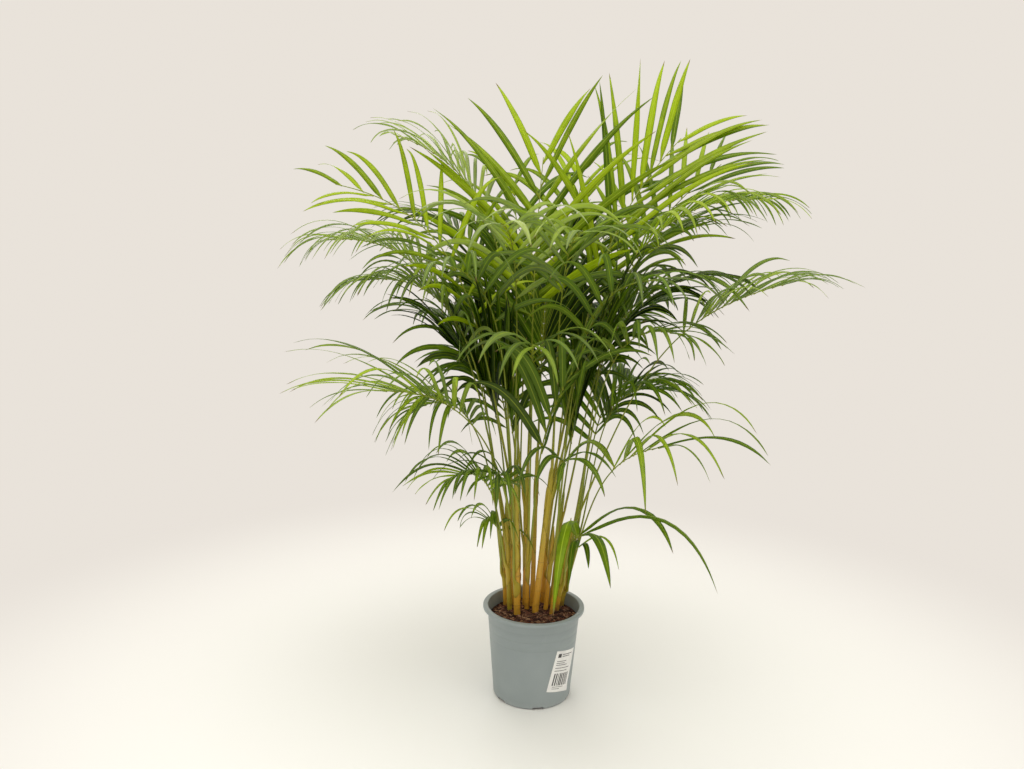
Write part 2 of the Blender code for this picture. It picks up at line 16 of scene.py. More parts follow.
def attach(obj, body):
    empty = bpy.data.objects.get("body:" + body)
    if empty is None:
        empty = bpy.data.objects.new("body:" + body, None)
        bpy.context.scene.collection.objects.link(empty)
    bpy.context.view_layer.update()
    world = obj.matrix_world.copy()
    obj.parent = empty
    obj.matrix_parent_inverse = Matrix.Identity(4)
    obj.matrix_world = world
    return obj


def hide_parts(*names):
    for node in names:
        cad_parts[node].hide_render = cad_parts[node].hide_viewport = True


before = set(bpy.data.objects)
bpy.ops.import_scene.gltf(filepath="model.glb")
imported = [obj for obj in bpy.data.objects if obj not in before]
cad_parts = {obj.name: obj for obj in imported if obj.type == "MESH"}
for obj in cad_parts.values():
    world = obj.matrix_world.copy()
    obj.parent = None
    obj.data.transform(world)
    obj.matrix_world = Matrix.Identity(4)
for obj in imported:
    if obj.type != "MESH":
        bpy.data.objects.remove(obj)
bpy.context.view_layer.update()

UP = Vector((0.0, 0.0, 1.0))

# --- pot, compost and label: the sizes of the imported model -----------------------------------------
POT_HEIGHT = 0.190
RIM_RADIUS = 0.105
RIM_DEPTH = 0.0065
RIM_ROUND = 0.0022
NECK_RADIUS = 0.0962
COLLAR_DEPTH = 0.065
SHOULDER_HEIGHT = POT_HEIGHT - COLLAR_DEPTH
SHOULDER_RADIUS = 0.0907
FOOT_RADIUS = 0.0802
FOOT_ROUND = 0.004
POT_WALL = 0.0018
POT_FLOOR = 0.0022
DRAIN_COUNT = 6
DRAIN_WIDTH = 0.024
DRAIN_HEIGHT = 0.005
DRAIN_DEPTH = 0.009
DRAIN_TURN = -81.5
DRAIN_ROUND = 0.0032
COMPOST_LEVEL = POT_HEIGHT - 0.020
COMPOST_MOUND = 0.006
GAP = 0.0003
LABEL_WIDTH = 0.057
LABEL_LENGTH = 0.088
LABEL_THICKNESS = 0.0004
LABEL_CENTRE = 0.0755
LABEL_TURN = -46.5
LABEL_LEAN = 12.0

# --- fine pot, compost and label -------------------------------------------------------------------
TURNED_STEPS = 144
TURNED_MERGE = 0.00001
ARC_STEPS = 6
CURL_LIFT = 0.0016              # the label's loose corner
CURL_REACH = 0.018
SHARP = 35                      # faces that meet at more than this many degrees keep their edge
GROOVE_DEPTH = 0.0003           # the faint lines around the pot's collar
GROOVE_HALF = 0.0007
GROOVE_HEIGHTS = (0.1635, 0.1450, 0.1262)
BED_RINGS = 46
BED_COLUMNS = 150
BED_SINK = 0.0008
BED_LUMPS = ((55, 0.0022), (170, 0.0011))       # how dense the compost's lumps are, and how tall
CHIP_COUNT = 1100
CHIP_CORNERS = 6
CHIP_LENGTH = (0.004, 0.0125)
CHIP_WIDTH = (0.25, 0.6)
CHIP_THICKNESS = (0.0012, 0.003)
CHIP_SHAPE = ((-1.0, 0.45), (-0.55, 0.95), (0.5, 1.0), (1.0, 0.4))
CHIP_ROUGH = (0.8, 1.15)
CHIP_SHARP = 40
THREAD_COUNT = 229
THREAD_STEPS = 8
THREAD_LENGTH = (0.010, 0.030)
THREAD_RADIUS = (0.0002, 0.0005)
THREAD_CURL = 1.6
THREAD_LIFT = (0.001, 0.0035)
LONG_THREAD = (0.045, 0.0011, (0.004, -0.066), radians(200))    # length, radius, place, heading
INK_LIFT = 0.00018
# What is printed on the label: left end and foot, from the upper left corner, width, height and columns.
LABEL_PRINT = (
    (0.006, 0.0140, 0.008, 0.0080, 4), (0.017, 0.0085, 0.030, 0.0014, 12),
    (0.017, 0.0125, 0.022, 0.0014, 12), (0.006, 0.0225, 0.026, 0.0011, 12),
    (0.006, 0.0265, 0.022, 0.0011, 12), (0.006, 0.0305, 0.030, 0.0011, 12),
    (0.006, 0.0370, 0.040, 0.0011, 12), (0.006, 0.0430, 0.034, 0.0011, 12),
    (0.010, 0.0775, 0.030, 0.0009, 12), (0.010, 0.0815, 0.020, 0.0009, 12),
)
BARCODE_SIDES = (0.008, 0.046)
BARCODE_FOOT = 0.074
BARCODE_HEIGHT = 0.026
BARCODE_BARS = (0.0014, 0.0020, 0.0028)
BARCODE_GAPS = (0.0017, 0.0021, 0.0027)

# --- canes -----------------------------------------------------------------------------------------
CANE_TAPER = 0.35
CANE_DEPTH = 0.050
CANE_COLUMNS = 18
CANE_RING = 0.0022
CANE_POINT = 0.028              # length of the folded leaf that a cane ends in
CANE_KNOBBLE = 0.025
SCAR_FIRST = (0.012, 0.03)
SCAR_GAP = (0.022, 0.042)
SCAR_SLANT = 0.2
SCAR_HALF = 0.0011
SCAR_SWELL = 0.07
ANY_TURN = (0, 6.28)
# letter: (foot x and y as shares of the compost's radius, heading and degrees of lean,
#          height above the compost, foot radius)
CANES = {
    "a": (-0.64, 0.51, 175, 3, 0.16, 0.0050),
    "b": (-0.54, 0.20, 185, 3, 0.24, 0.0055),
    "c": (-0.37, -0.04, 200, 2, 0.29, 0.0070),
    "d": (-0.18, 0.48, 110, 2, 0.30, 0.0062),
    "e": (0.04, 0.07, 10, 5, 0.32, 0.0072),
    "f": (0.54, 0.24, 0, 7, 0.20, 0.0058),
    "g": (0.68, 0.57, 20, 8, 0.14, 0.0050),
    "h": (-0.33, 0.77, 120, 4, 0.22, 0.0055),
    "i": (0.24, 0.70, 60, 4, 0.28, 0.0058),
    "j": (0.29, 0.26, 350, 4, 0.18, 0.0050),
    "k": (-0.15, 0.22, 270, 2, 0.18, 0.0052),
    "l": (0.42, 0.52, 15, 5, 0.26, 0.0046),
    "m": (-0.02, 0.42, 80, 3, 0.34, 0.0056),
    "n": (0.40, 0.00, 340, 6, 0.10, 0.0036),
    "o": (-0.46, 0.56, 160, 3, 0.24, 0.0046),
}

# --- fronds ----------------------------------------------------------------------------------------
PETIOLE_RADIUS = 0.0028
STALK_TIP_RADIUS = 0.0011
RISE_REACH = 0.50
FALL_REACH = 0.38
LEAFLET_WIDTH = 0.021
LEAFLET_STEPS = 8
SPREAD = (60, 26)
LIFT = (28, 12)
DROOP_POWER = 1.8
LONGEST_AT = 0.35
SHORTER_FIRST = 0.28
SHORTER_LAST = 0.50
SPREAD_QUIRK = 5
LIFT_QUIRK = 8
LENGTH_QUIRK = (0.92, 1.06)
DROOP_QUIRK = (0.75, 1.30)
CLEARANCE = 0.0008
MATCH = 0.0004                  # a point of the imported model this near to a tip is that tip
# name: (cane, start above the compost, tip x, y and height above the compost, lean of the stalk's
#        start and of its tip in degrees, bare share, longest leaflet, droop, pairs; then what shows:
#        tone from dark to bright, partly the frond's own green and partly painted shade on inner and low
#        fronds and painted light on the crown, painted sheen as a pale grey reflection, width against the
#        plain leaflets, and whether leaflets grow between those of the imported model)
FRONDS = {
    "crown_left": ("d", 0.29, 0.0, 0.12, 0.94, 3, 16, 0.42, 0.36, 0.4, 8, 0.8, 0.0, 0.74, False),
    "crown_right": ("e", 0.31, 0.29, 0.15, 0.99, 12, 46, 0.42, 0.33, 0.5, 11, 0.84, 0.0, 0.66, False),
    "right_top": ("i", 0.22, 0.38, 0.16, 0.94, 15, 52, 0.5, 0.25, 0.6, 10, 0.74, 0.1, 0.54, False),
    "right_arch": ("e", 0.27, 0.42, -0.02, 0.85, 12, 92, 0.5, 0.22, 1.4, 11, 0.72, 0.15, 0.46, True),
    "far_right": ("f", 0.18, 0.46, -0.06, 0.69, 20, 74, 0.64, 0.24, 1.0, 7, 0.64, 0.3, 0.44, True),
    "right_bright": ("g", 0.07, 0.24, -0.06, 0.37, 15, 74, 0.6, 0.38, 1.7, 5, 0.78, 0.05, 0.56, False),
    "low_right": ("f", 0.06, 0.095, -0.03, 0.18, 6, 68, 0.78, 0.4, 2.3, 2, 0.52, 0.0, 1.1, False),
    "lowest_right": ("g", 0.03, 0.1, 0.03, 0.14, 4, 50, 0.76, 0.17, 4, 2, 0.5, 0.0, 0.8, False),
    "left_top": ("d", 0.25, -0.31, 0.12, 0.98, 8, 72, 0.48, 0.22, 1.1, 10, 0.7, 0.6, 0.46, True),
    "left_arch": ("c", 0.27, -0.4, -0.02, 0.86, 12, 80, 0.36, 0.21, 0.7, 11, 0.98, 0.0, 0.54, False),
    "left_second": ("b", 0.22, -0.43, 0.06, 0.76, 12, 95, 0.5, 0.25, 1.6, 10, 0.66, 0.35, 0.42, True),
    "left_third": ("b", 0.18, -0.34, -0.05, 0.68, 9, 98, 0.5, 0.24, 1.8, 9, 0.52, 0.22, 0.42, True),
    "left_fourth": ("c", 0.18, -0.29, -0.14, 0.48, 10, 88, 0.58, 0.32, 0.9, 6, 0.7, 0.2, 0.46, True),
    "left_curl": ("a", 0.14, -0.24, -0.02, 0.43, 8, 115, 0.55, 0.22, 2.2, 7, 0.62, 0.15, 0.42, True),
    "left_low": ("b", 0.11, -0.16, -0.04, 0.3, 10, 100, 0.5, 0.2, 1.9, 6, 0.62, 0.1, 0.45, True),
    "lowest_left": ("a", 0.07, -0.1, 0.02, 0.19, 6, 70, 0.6, 0.16, 2.4, 3, 0.6, 0.05, 0.5, True),
    "front_mid": ("k", 0.16, -0.02, -0.2, 0.57, 5, 100, 0.6, 0.21, 1.8, 6, 0.5, 0.25, 0.56, False),
    "front_top": ("c", 0.28, -0.08, -0.2, 0.78, 4, 92, 0.52, 0.25, 1.6, 8, 0.66, 0.65, 0.58, False),
    "front_arc": ("e", 0.3, 0.06, -0.2, 0.77, 4, 92, 0.52, 0.24, 1.6, 8, 0.62, 0.4, 0.56, False),
    "front_left": ("c", 0.24, -0.2, -0.18, 0.71, 7, 92, 0.55, 0.24, 1.5, 7, 0.44, 0.2, 0.54, False),
    "front_right": ("j", 0.12, 0.2, -0.18, 0.69, 8, 92, 0.56, 0.24, 1.5, 7, 0.42, 0.15, 0.56, False),
    "front_low": ("n", 0.08, 0.05, -0.09, 0.34, 4, 100, 0.7, 0.18, 2.4, 2, 0.5, 0.1, 0.7, True),
    "front_low_left": ("c", 0.08, -0.09, -0.08, 0.31, 4, 95, 0.66, 0.17, 2.2, 3, 0.4, 0.1, 0.6, True),
    "right_fan_high": ("f", 0.16, 0.34, 0.12, 0.81, 11, 80, 0.45, 0.25, 1.2, 9, 0.46, 0.1, 0.52, True),
    "right_fan_mid": ("l", 0.22, 0.32, 0.02, 0.7, 11, 82, 0.45, 0.26, 1.4, 9, 0.38, 0.1, 0.56, True),
    "right_fan_low": ("g", 0.12, 0.28, 0.16, 0.65, 10, 85, 0.46, 0.25, 1.4, 8, 0.24, 0.0, 0.62, True),
    "right_droop": ("f", 0.1, 0.26, -0.12, 0.59, 12, 105, 0.58, 0.2, 1.8, 6, 0.42, 0.1, 0.52, True),
    "right_low": ("g", 0.1, 0.26, 0.04, 0.47, 15, 98, 0.54, 0.23, 1.6, 7, 0.46, 0.05, 0.55, True),
    "crown_back": ("h", 0.2, -0.06, 0.26, 0.91, 4, 30, 0.48, 0.28, 0.9, 8, 0.66, 0.0, 0.66, False),
    "crown_far": ("i", 0.26, 0.1, 0.29, 0.95, 6, 32, 0.45, 0.28, 0.9, 8, 0.66, 0.0, 0.62, False),
    "inner_left": ("d", 0.16, -0.14, 0.04, 0.6, 6, 32, 0.38, 0.31, 0.6, 8, 0.26, 0.0, 0.85, True),
    "inner_right": ("j", 0.16, 0.15, 0.05, 0.58, 9, 34, 0.36, 0.32, 0.6, 8, 0.26, 0.0, 0.85, True),
    "inner_front": ("k", 0.12, 0.06, -0.08, 0.52, 4, 36, 0.45, 0.28, 0.9, 6, 0.36, 0.05, 0.85, False),
    "inner_back": ("m", 0.31, 0.02, 0.16, 0.7, 5, 35, 0.36, 0.32, 0.7, 8, 0.22, 0.0, 0.9, True),
    "inner_far_left": ("o", 0.21, -0.19, 0.08, 0.56, 6, 50, 0.42, 0.28, 0.8, 8, 0.24, 0.0, 0.85, True),
    "back_left_high": ("h", 0.16, -0.26, 0.28, 0.83, 10, 80, 0.45, 0.25, 1.2, 8, 0.42, 0.1, 0.55, True),
    "back_left_mid": ("a", 0.09, -0.26, 0.2, 0.61, 10, 90, 0.45, 0.24, 1.4, 8, 0.42, 0.1, 0.55, True),
    "back_left_low": ("h", 0.07, -0.14, 0.28, 0.49, 12, 100, 0.45, 0.22, 1.5, 7, 0.42, 0.1, 0.55, True),
    "back_mid": ("h", 0.12, -0.02, 0.36, 0.71, 12, 90, 0.45, 0.25, 1.4, 8, 0.42, 0.1, 0.55, True),
    "back_right_high": ("i", 0.17, 0.22, 0.34, 0.83, 11, 80, 0.45, 0.26, 1.2, 8, 0.42, 0.1, 0.55, True),
    "back_right_mid": ("i", 0.09, 0.2, 0.3, 0.61, 14, 90, 0.45, 0.24, 1.4, 8, 0.42, 0.1, 0.55, True),
    "back_right_low": ("g", 0.05, 0.24, 0.22, 0.47, 16, 98, 0.45, 0.22, 1.5, 7, 0.42, 0.1, 0.55, True),
}
# degrees by which a frond is rolled about its stalk, and how far young leaflets have opened
ROLLS = {
    "crown_right": 50, "right_top": 35, "left_arch": -45,
}
OPENINGS = {
    "crown_left": 0.95, "crown_right": 0.7, "low_right": 0.8, "front_mid": 0.9, "front_low": 0.8,
    "inner_left": 0.6, "inner_right": 0.55, "inner_front": 0.6, "inner_back": 0.6,
    "inner_far_left": 0.65,
}
SWINGS = [side * step for step in (0, 2, 4, 6, 9, 12, 16) for side in ((1,) if step == 0 else (1, -1))]
TRIES = [
    (share, lift, spread)
    for share in (1.0, 0.85, 0.7, 0.5, 0.3)
    for lift in (0, 7, -7, 14, -14, 21, -21)
    for spread in (0, 6, -6, 12, -12)
]

# --- fine leaflets and stalks ----------------------------------------------------------------------
LEAF_RINGS = 18
LEAF_TOP = (-1.0, -0.66, -0.33, 0.0, 0.33, 0.66, 1.0)
LEAF_BOTTOM = (0.66, 0.33, 0.0, -0.33, -0.66)
LEAF_ROOT_SHARE = 0.28          # a leaflet's width at its root, and where it is full and where it tapers
LEAF_FULL_AT = 0.16
LEAF_TAPER_AT = 0.52
LEAF_TAPER_POWER = 1.6
LEAF_WIDTH_QUIRK = (0.86, 1.12)
LEAF_TWIST = 26
LEAF_RIPPLE = 0.0007
LEAF_WAVES = (9, 17)
LEAF_FOLD = 34
LEAF_FOLD_END = (6, 20)
LEAF_LEAST = 0.00025
LEAF_THICKNESS = (0.00022, 0.0008)              # the blade's, and what its root adds
LEAF_RIB_HEIGHT = 0.0004
TONE_QUIRK = 0.05
SHEEN_QUIRK = (0.6, 1.3)
STALK_ANGLES = (-105, -70, -35, 0, 35, 70, 105, 140, 160, 180, 200, 220)
STALK_OUTER = 7
STALK_RINGS = 44
SHEATH_RINGS = 14
SHEATH_LENGTH = 0.11
SHEATH_GAP = 0.0002
SHEATH_THICKNESS = 0.0011
CHANNEL = 0.38
STALK_FOOT_SHARE = 1.0          # how thick a stalk is against the plain one, at its foot and beyond
STALK_SHARE = 0.75
BETWEEN_STRAY = 0.010           # how far the tip of a leaflet grown between two others strays

# --- colours ---------------------------------------------------------------------------------------
LEAF_DARK = (0.026, 0.06, 0.005)
LEAF_MIDDLE = (0.135, 0.23, 0.007)
LEAF_BRIGHT = (0.4, 0.5, 0.01)
LEAF_SHEEN = (0.5, 0.56, 0.3)
LEAF_RIB = (0.48, 0.56, 0.07)
LEAF_FOOT = (0.46, 0.47, 0.05)
LEAF_DRY = (0.26, 0.17, 0.09)
STALK_FOOT = (0.5, 0.37, 0.024)
STALK_MIDDLE = (0.24, 0.29, 0.016)
STALK_TIP = (0.21, 0.29, 0.016)
STALK_SHADE = (0.09, 0.12, 0.009)
STALK_STREAK = (0.56, 0.48, 0.07)
STALK_DRY = (0.2, 0.11, 0.05)
CANE_FOOT = (0.64, 0.34, 0.026)
CANE_TOP = (0.41, 0.37, 0.024)
CANE_OLD = (0.33, 0.34, 0.024)
CANE_STREAK = (0.72, 0.5, 0.09)
CANE_SCAR = (0.23, 0.12, 0.03)
POT_GREY = (0.265, 0.31, 0.315)
POT_LIGHT = (0.3, 0.345, 0.35)
POT_SCUFF = (0.42, 0.45, 0.45)
POT_RECESS_SHADE = (0.06, 0.066, 0.066)
COMPOST_DARK = (0.016, 0.006, 0.004)
COMPOST_LIGHT = (0.08, 0.032, 0.018)
COMPOST_RED = (0.12, 0.036, 0.019)
CHIP_DARK = (0.03, 0.011, 0.007)
CHIP_RED = (0.15, 0.052, 0.027)
CHIP_PALE = (0.4, 0.23, 0.13)
PAPER_WHITE = (0.88, 0.88, 0.86)
PAPER_GREY = (0.74, 0.74, 0.73)
INK_BLACK = (0.03, 0.03, 0.032)
INK_WORN = (0.2, 0.2, 0.2)
BACKDROP = (0.815, 0.765, 0.702)
BACKDROP_LIGHT = 1.0
FLOOR_COLOUR = (0.86, 0.87, 0.845)
FLOOR_FADE = (0.55, 1.6)

# --- floor, lights and camera ----------------------------------------------------------------------
FLOOR_SIZE = 60.0
# name, place, what it faces, width and height, watts, colour
LIGHTS = (
    ("ceiling", (0.1, -0.5, 3.0), (0.0, 0.0, 0.7), (2.4, 2.0), 42.0, (1.0, 0.98, 0.95)),
    ("behind", (-0.6, 1.9, 2.4), (0.0, 0.0, 0.9), (1.8, 1.2), 18.0, (1.0, 0.99, 0.95)),
)
CAMERA_PLACE = (-0.055, -1.53, 0.85)
CAMERA_PITCH = 7.5
CAMERA_ROLL = 1.25
CAMERA_LENS = 27.07
CAMERA_SENSOR = 36.0


# --- small helpers -------------------------------------------------------------------------------
def smooth(low, high, value):
    share = min(1.0, max(0.0, (value - low) / (high - low)))
    return share * share * (3 - 2 * share)


def blend(ends, share):
    return ends[0] + (ends[1] - ends[0]) * share


def direction(heading, lean):
    """Unit vector that leans away from upright towards a heading, both in degrees."""
    turn, tilt = radians(heading), radians(lean)
    return Vector((sin(tilt) * cos(turn), sin(tilt) * sin(turn), cos(tilt)))


def arc(centre_r, centre_z, radius, start, end):
    """Points of an arc in an outline's plane, from one angle to another, in degrees."""
    angles = [radians(start + (end - start) * i / ARC_STEPS) for i in range(ARC_STEPS + 1)]
    return [(centre_r + radius * cos(a), centre_z + radius * sin(a)) for a in angles]


def on_curve(points, place):
    """A point on the smooth curve through a list of points, at a place counted in points."""
    last = len(points) - 1
    index = min(int(place), last - 1)
    t = place - index
    b, c = points[index], points[index + 1]
    a = points[index - 1] if index > 0 else b * 2 - c
    d = points[index + 2] if index + 2 <= last else c * 2 - b
    return 0.5 * (2 * b + (c - a) * t + (2 * a - 5 * b + 4 * c - d) * t**2 + (3 * b - a - 3 * c + d) * t**3)


def turns(count):
    return [2 * pi * index / count for index in range(count)]


def placed(name, data):
    """A new object of a mesh, a light or a camera, in the scene."""
    obj = bpy.data.objects.new(name, data)
    bpy.context.scene.collection.objects.link(obj)
    return obj


def meshed(name, bm):
    mesh = bpy.data.meshes.new(name)
    bm.to_mesh(mesh)
    bm.free()
    return mesh


class Builder:
    """Gathers rings of points into closed skins, with two vectors of facts at every point."""

    def __init__(self):
        self.points, self.faces, self.slots, self.facts, self.tints = [], [], [], [], []

    def ring(self, corners, facts=None, tint=(0, 0, 0)):
        """Add points; facts is one vector for each of them, tint is one for all."""
        first = len(self.points)
        self.points.extend(corners)
        self.facts.extend(facts or [(0, 0, 0)] * len(corners))
        self.tints.extend([tint] * len(corners))
        return list(range(first, len(self.points)))

    def face(self, corners, slot=0):
        self.faces.append(corners)
        self.slots.append(slot)

    def tube(self, rings, slot=0):
        """Join every ring to the one after it."""
        for ring, following in zip(rings, rings[1:]):
            for i in range(len(ring)):
                j = (i + 1) % len(ring)
                self.face((ring[i], ring[j], following[j], following[i]), slot)

    def rod(self, rings):
        """A tube with both of its ends closed."""
        self.tube(rings)
        self.face(rings[0])
        self.face(rings[-1][::-1])

    def fan(self, ring, point, fact=(0, 0, 0), tint=(0, 0, 0), slot=0):
        """Close a ring towards a new point."""
        tip = self.ring([point], [fact], tint)[0]
        for i in range(len(ring)):
            self.face((ring[i], ring[(i + 1) % len(ring)], tip), slot)

    def object(self, name, materials, sharp=None):
        mesh = bpy.data.meshes.new(name)
        mesh.from_pydata([tuple(p) for p in self.points], [], self.faces)
        for key, values in (("facts", self.facts), ("tint", self.tints)):
            attribute = mesh.attributes.new(key, "FLOAT_VECTOR", "POINT")
            attribute.data.foreach_set("vector", [x for value in values for x in value])
        for material in materials:
            mesh.materials.append(material)
        mesh.polygons.foreach_set("material_index", self.slots)
        bm = bmesh.new()
        bm.from_mesh(mesh)
        bmesh.ops.recalc_face_normals(bm, faces=bm.faces)
        bm.to_mesh(mesh)
        bm.free()
        mesh.shade_smooth()
        if sharp is not None:
            mesh.set_sharp_from_angle(angle=radians(sharp))
        return placed(name, mesh)


def stands_for(piece, slot, *nodes):
    """Put a piece on the body, in place of its nodes if it has any; the slot argument is not used."""
    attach(piece, "root")
    if nodes:
        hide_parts(*nodes)


# --- materials ---------------------------------------------------------------------------------
class Nodes:
    """A material's node tree, with short ways to add what the materials here are made of."""

    def __init__(self, name):
        self.material = bpy.data.materials.new(name)
        self.material.use_nodes = True
        self.tree = self.material.node_tree
        self.shader = self.tree.nodes["Principled BSDF"]
        self.output = self.tree.nodes["Material Output"]

    def add(self, kind, inputs=(), **settings):
        node = self.tree.nodes.new("ShaderNode" + kind)
        for key, value in settings.items():
            setattr(node, key, value)
        for key, value in dict(inputs).items():
            self.put(node.inputs[key], value)
        return node

    def put(self, socket, value):
        if isinstance(value, bpy.types.NodeSocket):
            self.tree.links.new(value, socket)
        elif socket.type == "RGBA":
            socket.default_value = (*value, 1.0)
        else:
            socket.default_value = value

    def math(self, operation, *values, clamp=False):
        node = self.add("Math", operation=operation, use_clamp=clamp)
        for socket, value in zip(node.inputs, values):
            self.put(socket, value)
        return node.outputs[0]

    def vary(self, value, chance, amount, clamp=False):
        """A value moved by chance, which is 0..1, to either side by half the amount."""
        return self.math("ADD", value, self.math("MULTIPLY_ADD", chance, amount, -amount / 2), clamp=clamp)

    def distance(self, x, y):
        return self.math("SQRT", self.math("ADD", self.math("POWER", x, 2.0), self.math("POWER", y, 2.0)))

    def ramp(self, value, low, high, start=0.0, end=1.0):
        """Smooth change from start to end while a value goes from low to high."""
        keys = {"Value": value, "From Min": low, "From Max": high, "To Min": start, "To Max": end}
        return self.add("MapRange", keys, interpolation_type="SMOOTHSTEP").outputs[0]

    def mix(self, factor, first, second, blend_type="MIX"):
        node = self.add("Mix", data_type="RGBA", blend_type=blend_type)
        for socket, value in zip((node.inputs[0], node.inputs[6], node.inputs[7]), (factor, first, second)):
            self.put(socket, value)
        return node.outputs[2]

    def fact(self, name):
        """The three parts of a fact stored in the mesh."""
        split = self.add("SeparateXYZ", {0: self.add("Attribute", attribute_name=name).outputs["Vector"]})
        return split.outputs[0], split.outputs[1], split.outputs[2]

    def place(self, stretch=(1.0, 1.0, 1.0)):
        """Object coordinates, stretched."""
        where = self.add("TexCoord").outputs["Object"]
        return self.add("Mapping", {"Vector": where, "Scale": stretch}).outputs[0]

    def noise(self, scale, detail=3.0, rough=0.5, where=None):
        where = self.place() if where is None else where
        keys = {"Scale": scale, "Detail": detail, "Roughness": rough, "Vector": where}
        return self.add("TexNoise", keys).outputs["Fac"]

    def bump(self, height, strength, distance, base=None):
        keys = {"Height": height, "Strength": strength, "Distance": distance}
        if base is not None:
            keys["Normal"] = base
        return self.add("Bump", keys).outputs[0]

    def surface(self, colour, roughness, normal=None, specular=None):
        keys = ("Base Color", "Roughness", "Normal", "Specular IOR Level")
        for key, value in zip(keys, (colour, roughness, normal, specular)):
            if value is not None:
                self.put(self.shader.inputs[key], value)
        return self.material

    def mix_in(self, share, other):
        """Let a share of another shader's node show in the surface."""
        mixed = self.add("MixShader", {0: share, 1: self.shader.outputs[0], 2: other.outputs[0]})
        self.put(self.output.inputs["Surface"], mixed.outputs[0])


def leaf_material():
    """Leaflets: across is -1..1, along is 0..1; tint holds the tone, which is partly painted shade and light,
    and a painted sheen.
    """
    n = Nodes("palm_leaf")
    across, along, chance = n.fact("facts")
    tone_light_and_shade, painted_sheen, _ = n.fact("tint")
    blotch = n.noise(38.0, 4.0)
    # The tone is partly the frond's own green, partly painted shade on inner and low fronds and painted light
    # on the crown.
    shade = n.vary(n.vary(tone_light_and_shade, blotch, 0.34), chance, 0.50, clamp=True)
    green = n.mix(n.ramp(shade, 0.0, 0.5), LEAF_DARK, LEAF_MIDDLE)
    green = n.mix(n.ramp(shade, 0.5, 1.0), green, LEAF_BRIGHT)
    # Painted reflection: a pale grey sheen is mixed over the green, as much as the frond's tint asks for.
    green = n.mix(painted_sheen, green, LEAF_SHEEN)
    aside = n.math("ABSOLUTE", across)
    veins = n.math("SINE", n.math("MULTIPLY", across, 34.0))
    lengthwise = n.add("CombineXYZ", {0: across, 1: n.math("MULTIPLY", along, 0.25), 2: chance})
    streak = n.noise(6.0, 2.0, 0.5, lengthwise.outputs[0])
    veined = n.math("MULTIPLY_ADD", veins, 0.05, n.math("MULTIPLY_ADD", streak, 0.3, 0.85))
    veined = n.add("CombineColor", {0: veined, 1: veined, 2: veined}).outputs[0]
    green = n.mix(1.0, green, veined, blend_type="MULTIPLY")
    rib = n.ramp(aside, 0.03, 0.13, 0.75, 0.0)
    green = n.mix(rib, green, LEAF_RIB)
    green = n.mix(n.ramp(along, 0.0, 0.07, 0.8, 0.0), green, LEAF_FOOT)
    ragged = n.math("MULTIPLY_ADD", n.noise(160.0, 2.0), 0.07, along)
    dry = n.math("MULTIPLY", n.ramp(ragged, 0.965, 1.02), n.ramp(chance, 0.25, 0.75, 0.1, 0.9))
    edge = n.math("MULTIPLY", n.ramp(aside, 0.86, 1.0), n.ramp(n.noise(40.0, 2.0), 0.60, 0.70, 0.0, 0.25))
    colour = n.mix(n.math("MAXIMUM", dry, edge), green, LEAF_DRY)
    fading = n.ramp(along, 0.35, 0.80, 0.5, 0.0)
    height = n.math("MULTIPLY_ADD", veins, fading, n.noise(150.0, 2.0))
    height = n.math("ADD", height, n.math("MULTIPLY", rib, n.math("MULTIPLY", fading, -3.0)))
    normal = n.bump(height, 0.5, 0.00015)
    n.surface(colour, n.math("MULTIPLY_ADD", blotch, 0.22, 0.30), normal, specular=0.22)
    glow = n.add("HueSaturation", {"Saturation": 1.10, "Value": 1.75, "Color": colour}).outputs[0]
    n.mix_in(0.48, n.add("BsdfTranslucent", {"Color": glow, "Normal": normal}))
    return n.material


def stalk_material():
    """Stalks: facts hold the share along the stalk."""
    n = Nodes("palm_stalk")
    _, along, _ = n.fact("facts")
    tone_light_and_shade, _, _ = n.fact("tint")
    lengthwise = n.noise(260.0, 3.0, 0.6, n.place((1.0, 1.0, 0.06)))
    where = n.vary(along, n.noise(30.0), 0.16)
    green = n.mix(n.ramp(where, -0.16, 0.16), STALK_FOOT, STALK_MIDDLE)
    green = n.mix(n.ramp(where, 0.30, 0.85), green, STALK_TIP)
    # Painted shade: stalks of the fronds that are set dark are darkened towards STALK_SHADE.
    green = n.mix(n.ramp(tone_light_and_shade, 0.15, 0.6, 0.30, 0.0), green, STALK_SHADE)
    green = n.mix(n.ramp(lengthwise, 0.45, 0.75, 0.0, 0.28), green, STALK_STREAK)
    specks = n.ramp(n.noise(420.0, 2.0), 0.68, 0.74, 0.0, 0.5)
    flakes = n.ramp(n.noise(120.0), 0.42, 0.62, 0.0, 0.4)
    papery = n.math("MULTIPLY", n.ramp(where, -0.22, -0.12, 1.0, 0.0), flakes)
    colour = n.mix(n.math("MAXIMUM", specks, papery), green, STALK_DRY)
    return n.surface(colour, n.math("MULTIPLY_ADD", lengthwise, 0.25, 0.33), n.bump(lengthwise, 0.35, 0.0004))


